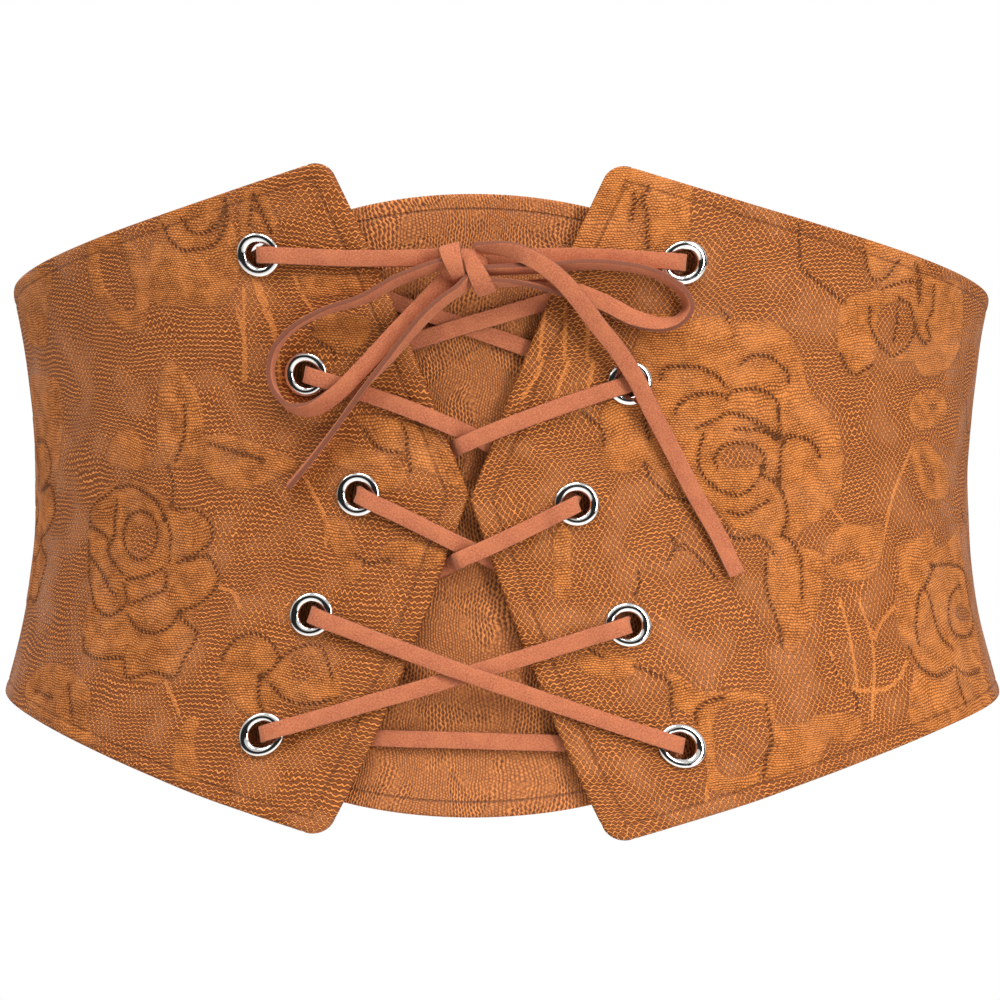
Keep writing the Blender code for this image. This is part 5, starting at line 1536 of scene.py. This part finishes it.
# %% Suede
def suede():
    """The finish of the lace, the bow and the knot."""
    made, tree, shader = new_material("suede")
    along = node(tree, "ShaderNodeUVMap", uv_map="along").outputs[0]
    place = in_millimetres(tree, along)
    cut = node(tree, "ShaderNodeAttribute", attribute_name="cut_edge").outputs["Fac"]
    nap = noise(tree, place, 2.4, 4.0, Roughness=0.65)
    brushed = noise(tree, place, 0.22, 2.0)
    face = mixed(tree, ramp(tree, nap, 0.35, 0.68), (0.320, 0.090, 0.040, 1), (0.560, 0.180, 0.088, 1))
    face = mixed(tree, ramp(tree, brushed, 0.35, 0.7, 0.0, 0.35), face, (0.570, 0.194, 0.082, 1))
    edge = mixed(tree, nap, (0.130, 0.042, 0.024, 1), (0.260, 0.086, 0.048, 1))
    colour = mixed(tree, ramp(tree, cut, 0.45, 0.95), face, edge)
    wire(tree, shader, {
        "Base Color": colour, "Roughness": 0.92, "Specular IOR Level": 0.2, "Sheen Weight": 0.15,
        "Sheen Roughness": 0.5, "Sheen Tint": (1.0, 0.66, 0.48, 1)})
    raise_surface(tree, shader, times(tree, nap, 0.16), 0.7)
    return made


suede_finish = suede()
for piece in lace_pieces:
    piece.data.materials.append(suede_finish)

# %% [markdown]
# The elastic is a dull ribbed web, and the seam's thread a waxed tan.  The eyelets are polished nickel with
# faint wipe marks, and get their look from what they mirror.

# %% Elastic, thread and nickel
def elastic():
    """The finish of the back band."""
    made, tree, shader = new_material("ribbed_elastic")
    flat = node(tree, "ShaderNodeUVMap", uv_map="flat").outputs[0]
    place = in_millimetres(tree, flat)
    weave = use_group(tree, clothwork, {"Place": place, "Row": 0.8, "Stitch": 1.05})["Weave"]
    patchy = noise(tree, place, 0.05, 3.0)
    colour = mixed(tree, weave, (0.125, 0.036, 0.011, 1), (0.300, 0.098, 0.028, 1))
    colour = mixed(tree, ramp(tree, patchy, 0.3, 0.7, 0.0, 0.25), colour, (0.360, 0.125, 0.036, 1))
    wire(tree, shader, {"Base Color": colour, "Roughness": 0.82})
    raise_surface(tree, shader, times(tree, weave, 0.2), 0.8)
    return made


def plain_thread():
    """The finish of the seam's stitches."""
    made, tree, shader = new_material("seam_thread")
    place = node(tree, "ShaderNodeTexCoord").outputs["Object"]
    twist = node(
        tree, "ShaderNodeTexWave", {"Vector": place, "Scale": 420.0, "Distortion": 1.0},
        bands_direction="DIAGONAL")
    colour = mixed(tree, twist.outputs["Fac"], (0.260, 0.080, 0.022, 1), (0.520, 0.190, 0.060, 1))
    wire(tree, shader, {"Base Color": colour, "Roughness": 0.55})
    return made


def nickel():
    """The finish of the eyelets."""
    made, tree, shader = new_material("nickel")
    place = node(tree, "ShaderNodeTexCoord").outputs["Object"]
    wiped = noise(tree, place, 600.0, 3.0)
    wire(tree, shader, {
        "Base Color": (0.86, 0.85, 0.82, 1), "Metallic": 1.0,
        "Roughness": ramp(tree, wiped, 0.3, 0.8, 0.05, 0.14)})
    return made


band.data.materials.append(elastic())
thread_finish, nickel_finish = plain_thread(), nickel()
for row in stitches:
    row.data.materials.append(thread_finish)
for made in eyelets:
    made.data.materials.append(nickel_finish)

# %% [markdown]
# The studio is a pale floor well below the belt, since the belt is held up, and soft light from all round.
# Large soft lamps at both sides and above give the leather and the nickel something bright to mirror.

# %% Floor and light
bpy.ops.object.select_all(action="DESELECT")
bpy.ops.mesh.primitive_circle_add(vertices=96, radius=3.0, fill_type="NGON", location=(0, 0, -0.6))
floor = bpy.context.object
floor.name = "studio_floor"
paint, tree, shader = new_material("pale_floor")
wire(tree, shader, {"Base Color": (0.86, 0.86, 0.86, 1), "Roughness": 0.9})
floor.data.materials.append(paint)

bpy.context.scene.view_settings.view_transform = "Standard"
world = bpy.data.worlds.new("studio")
bpy.context.scene.world = world
world.use_nodes = True
tree = world.node_tree
sky = tree.nodes["Background"]
direction = parts(tree, node(tree, "ShaderNodeTexCoord").outputs["Generated"])
front = ramp(tree, direction[1], -0.2, -0.35)
dark = times(tree, front, ramp(tree, calc(tree, "ABSOLUTE", direction[2]), 0.42, 0.32))
level = mixed(tree, ramp(tree, direction[2], -0.2, 0.2), (0.1, 0.1, 0.1, 1), (1.65, 1.65, 1.65, 1))
level = mixed(tree, dark, level, (0.05, 0.05, 0.05, 1))
seen = node(tree, "ShaderNodeLightPath").outputs["Is Camera Ray"]
wire(tree, sky, {
    "Color": mixed(tree, seen, level, (1.0, 1.0, 1.0, 1)),
    "Strength": calc(tree, "MULTIPLY_ADD", seen, 0.6, 0.40)})


def soft_lamp(name, place, size, power):
    """A large square lamp that faces the belt."""
    bpy.ops.object.light_add(type="AREA", location=place)
    lamp = bpy.context.object
    lamp.name = name
    lamp.data.shape = "RECTANGLE"
    lamp.data.size, lamp.data.size_y = size
    lamp.data.energy = power
    lamp.rotation_mode = "QUATERNION"
    lamp.rotation_quaternion = lamp.location.to_track_quat("Z", "Y")


soft_lamp("lamp_left", (-1.4, -0.6, 1.3), (0.5, 0.9), 10)
soft_lamp("lamp_right", (1.2, -1.3, 0.45), (0.35, 1.4), 23)
soft_lamp("lamp_top", (-0.1, -0.9, 1.4), (1.0, 0.5), 18)
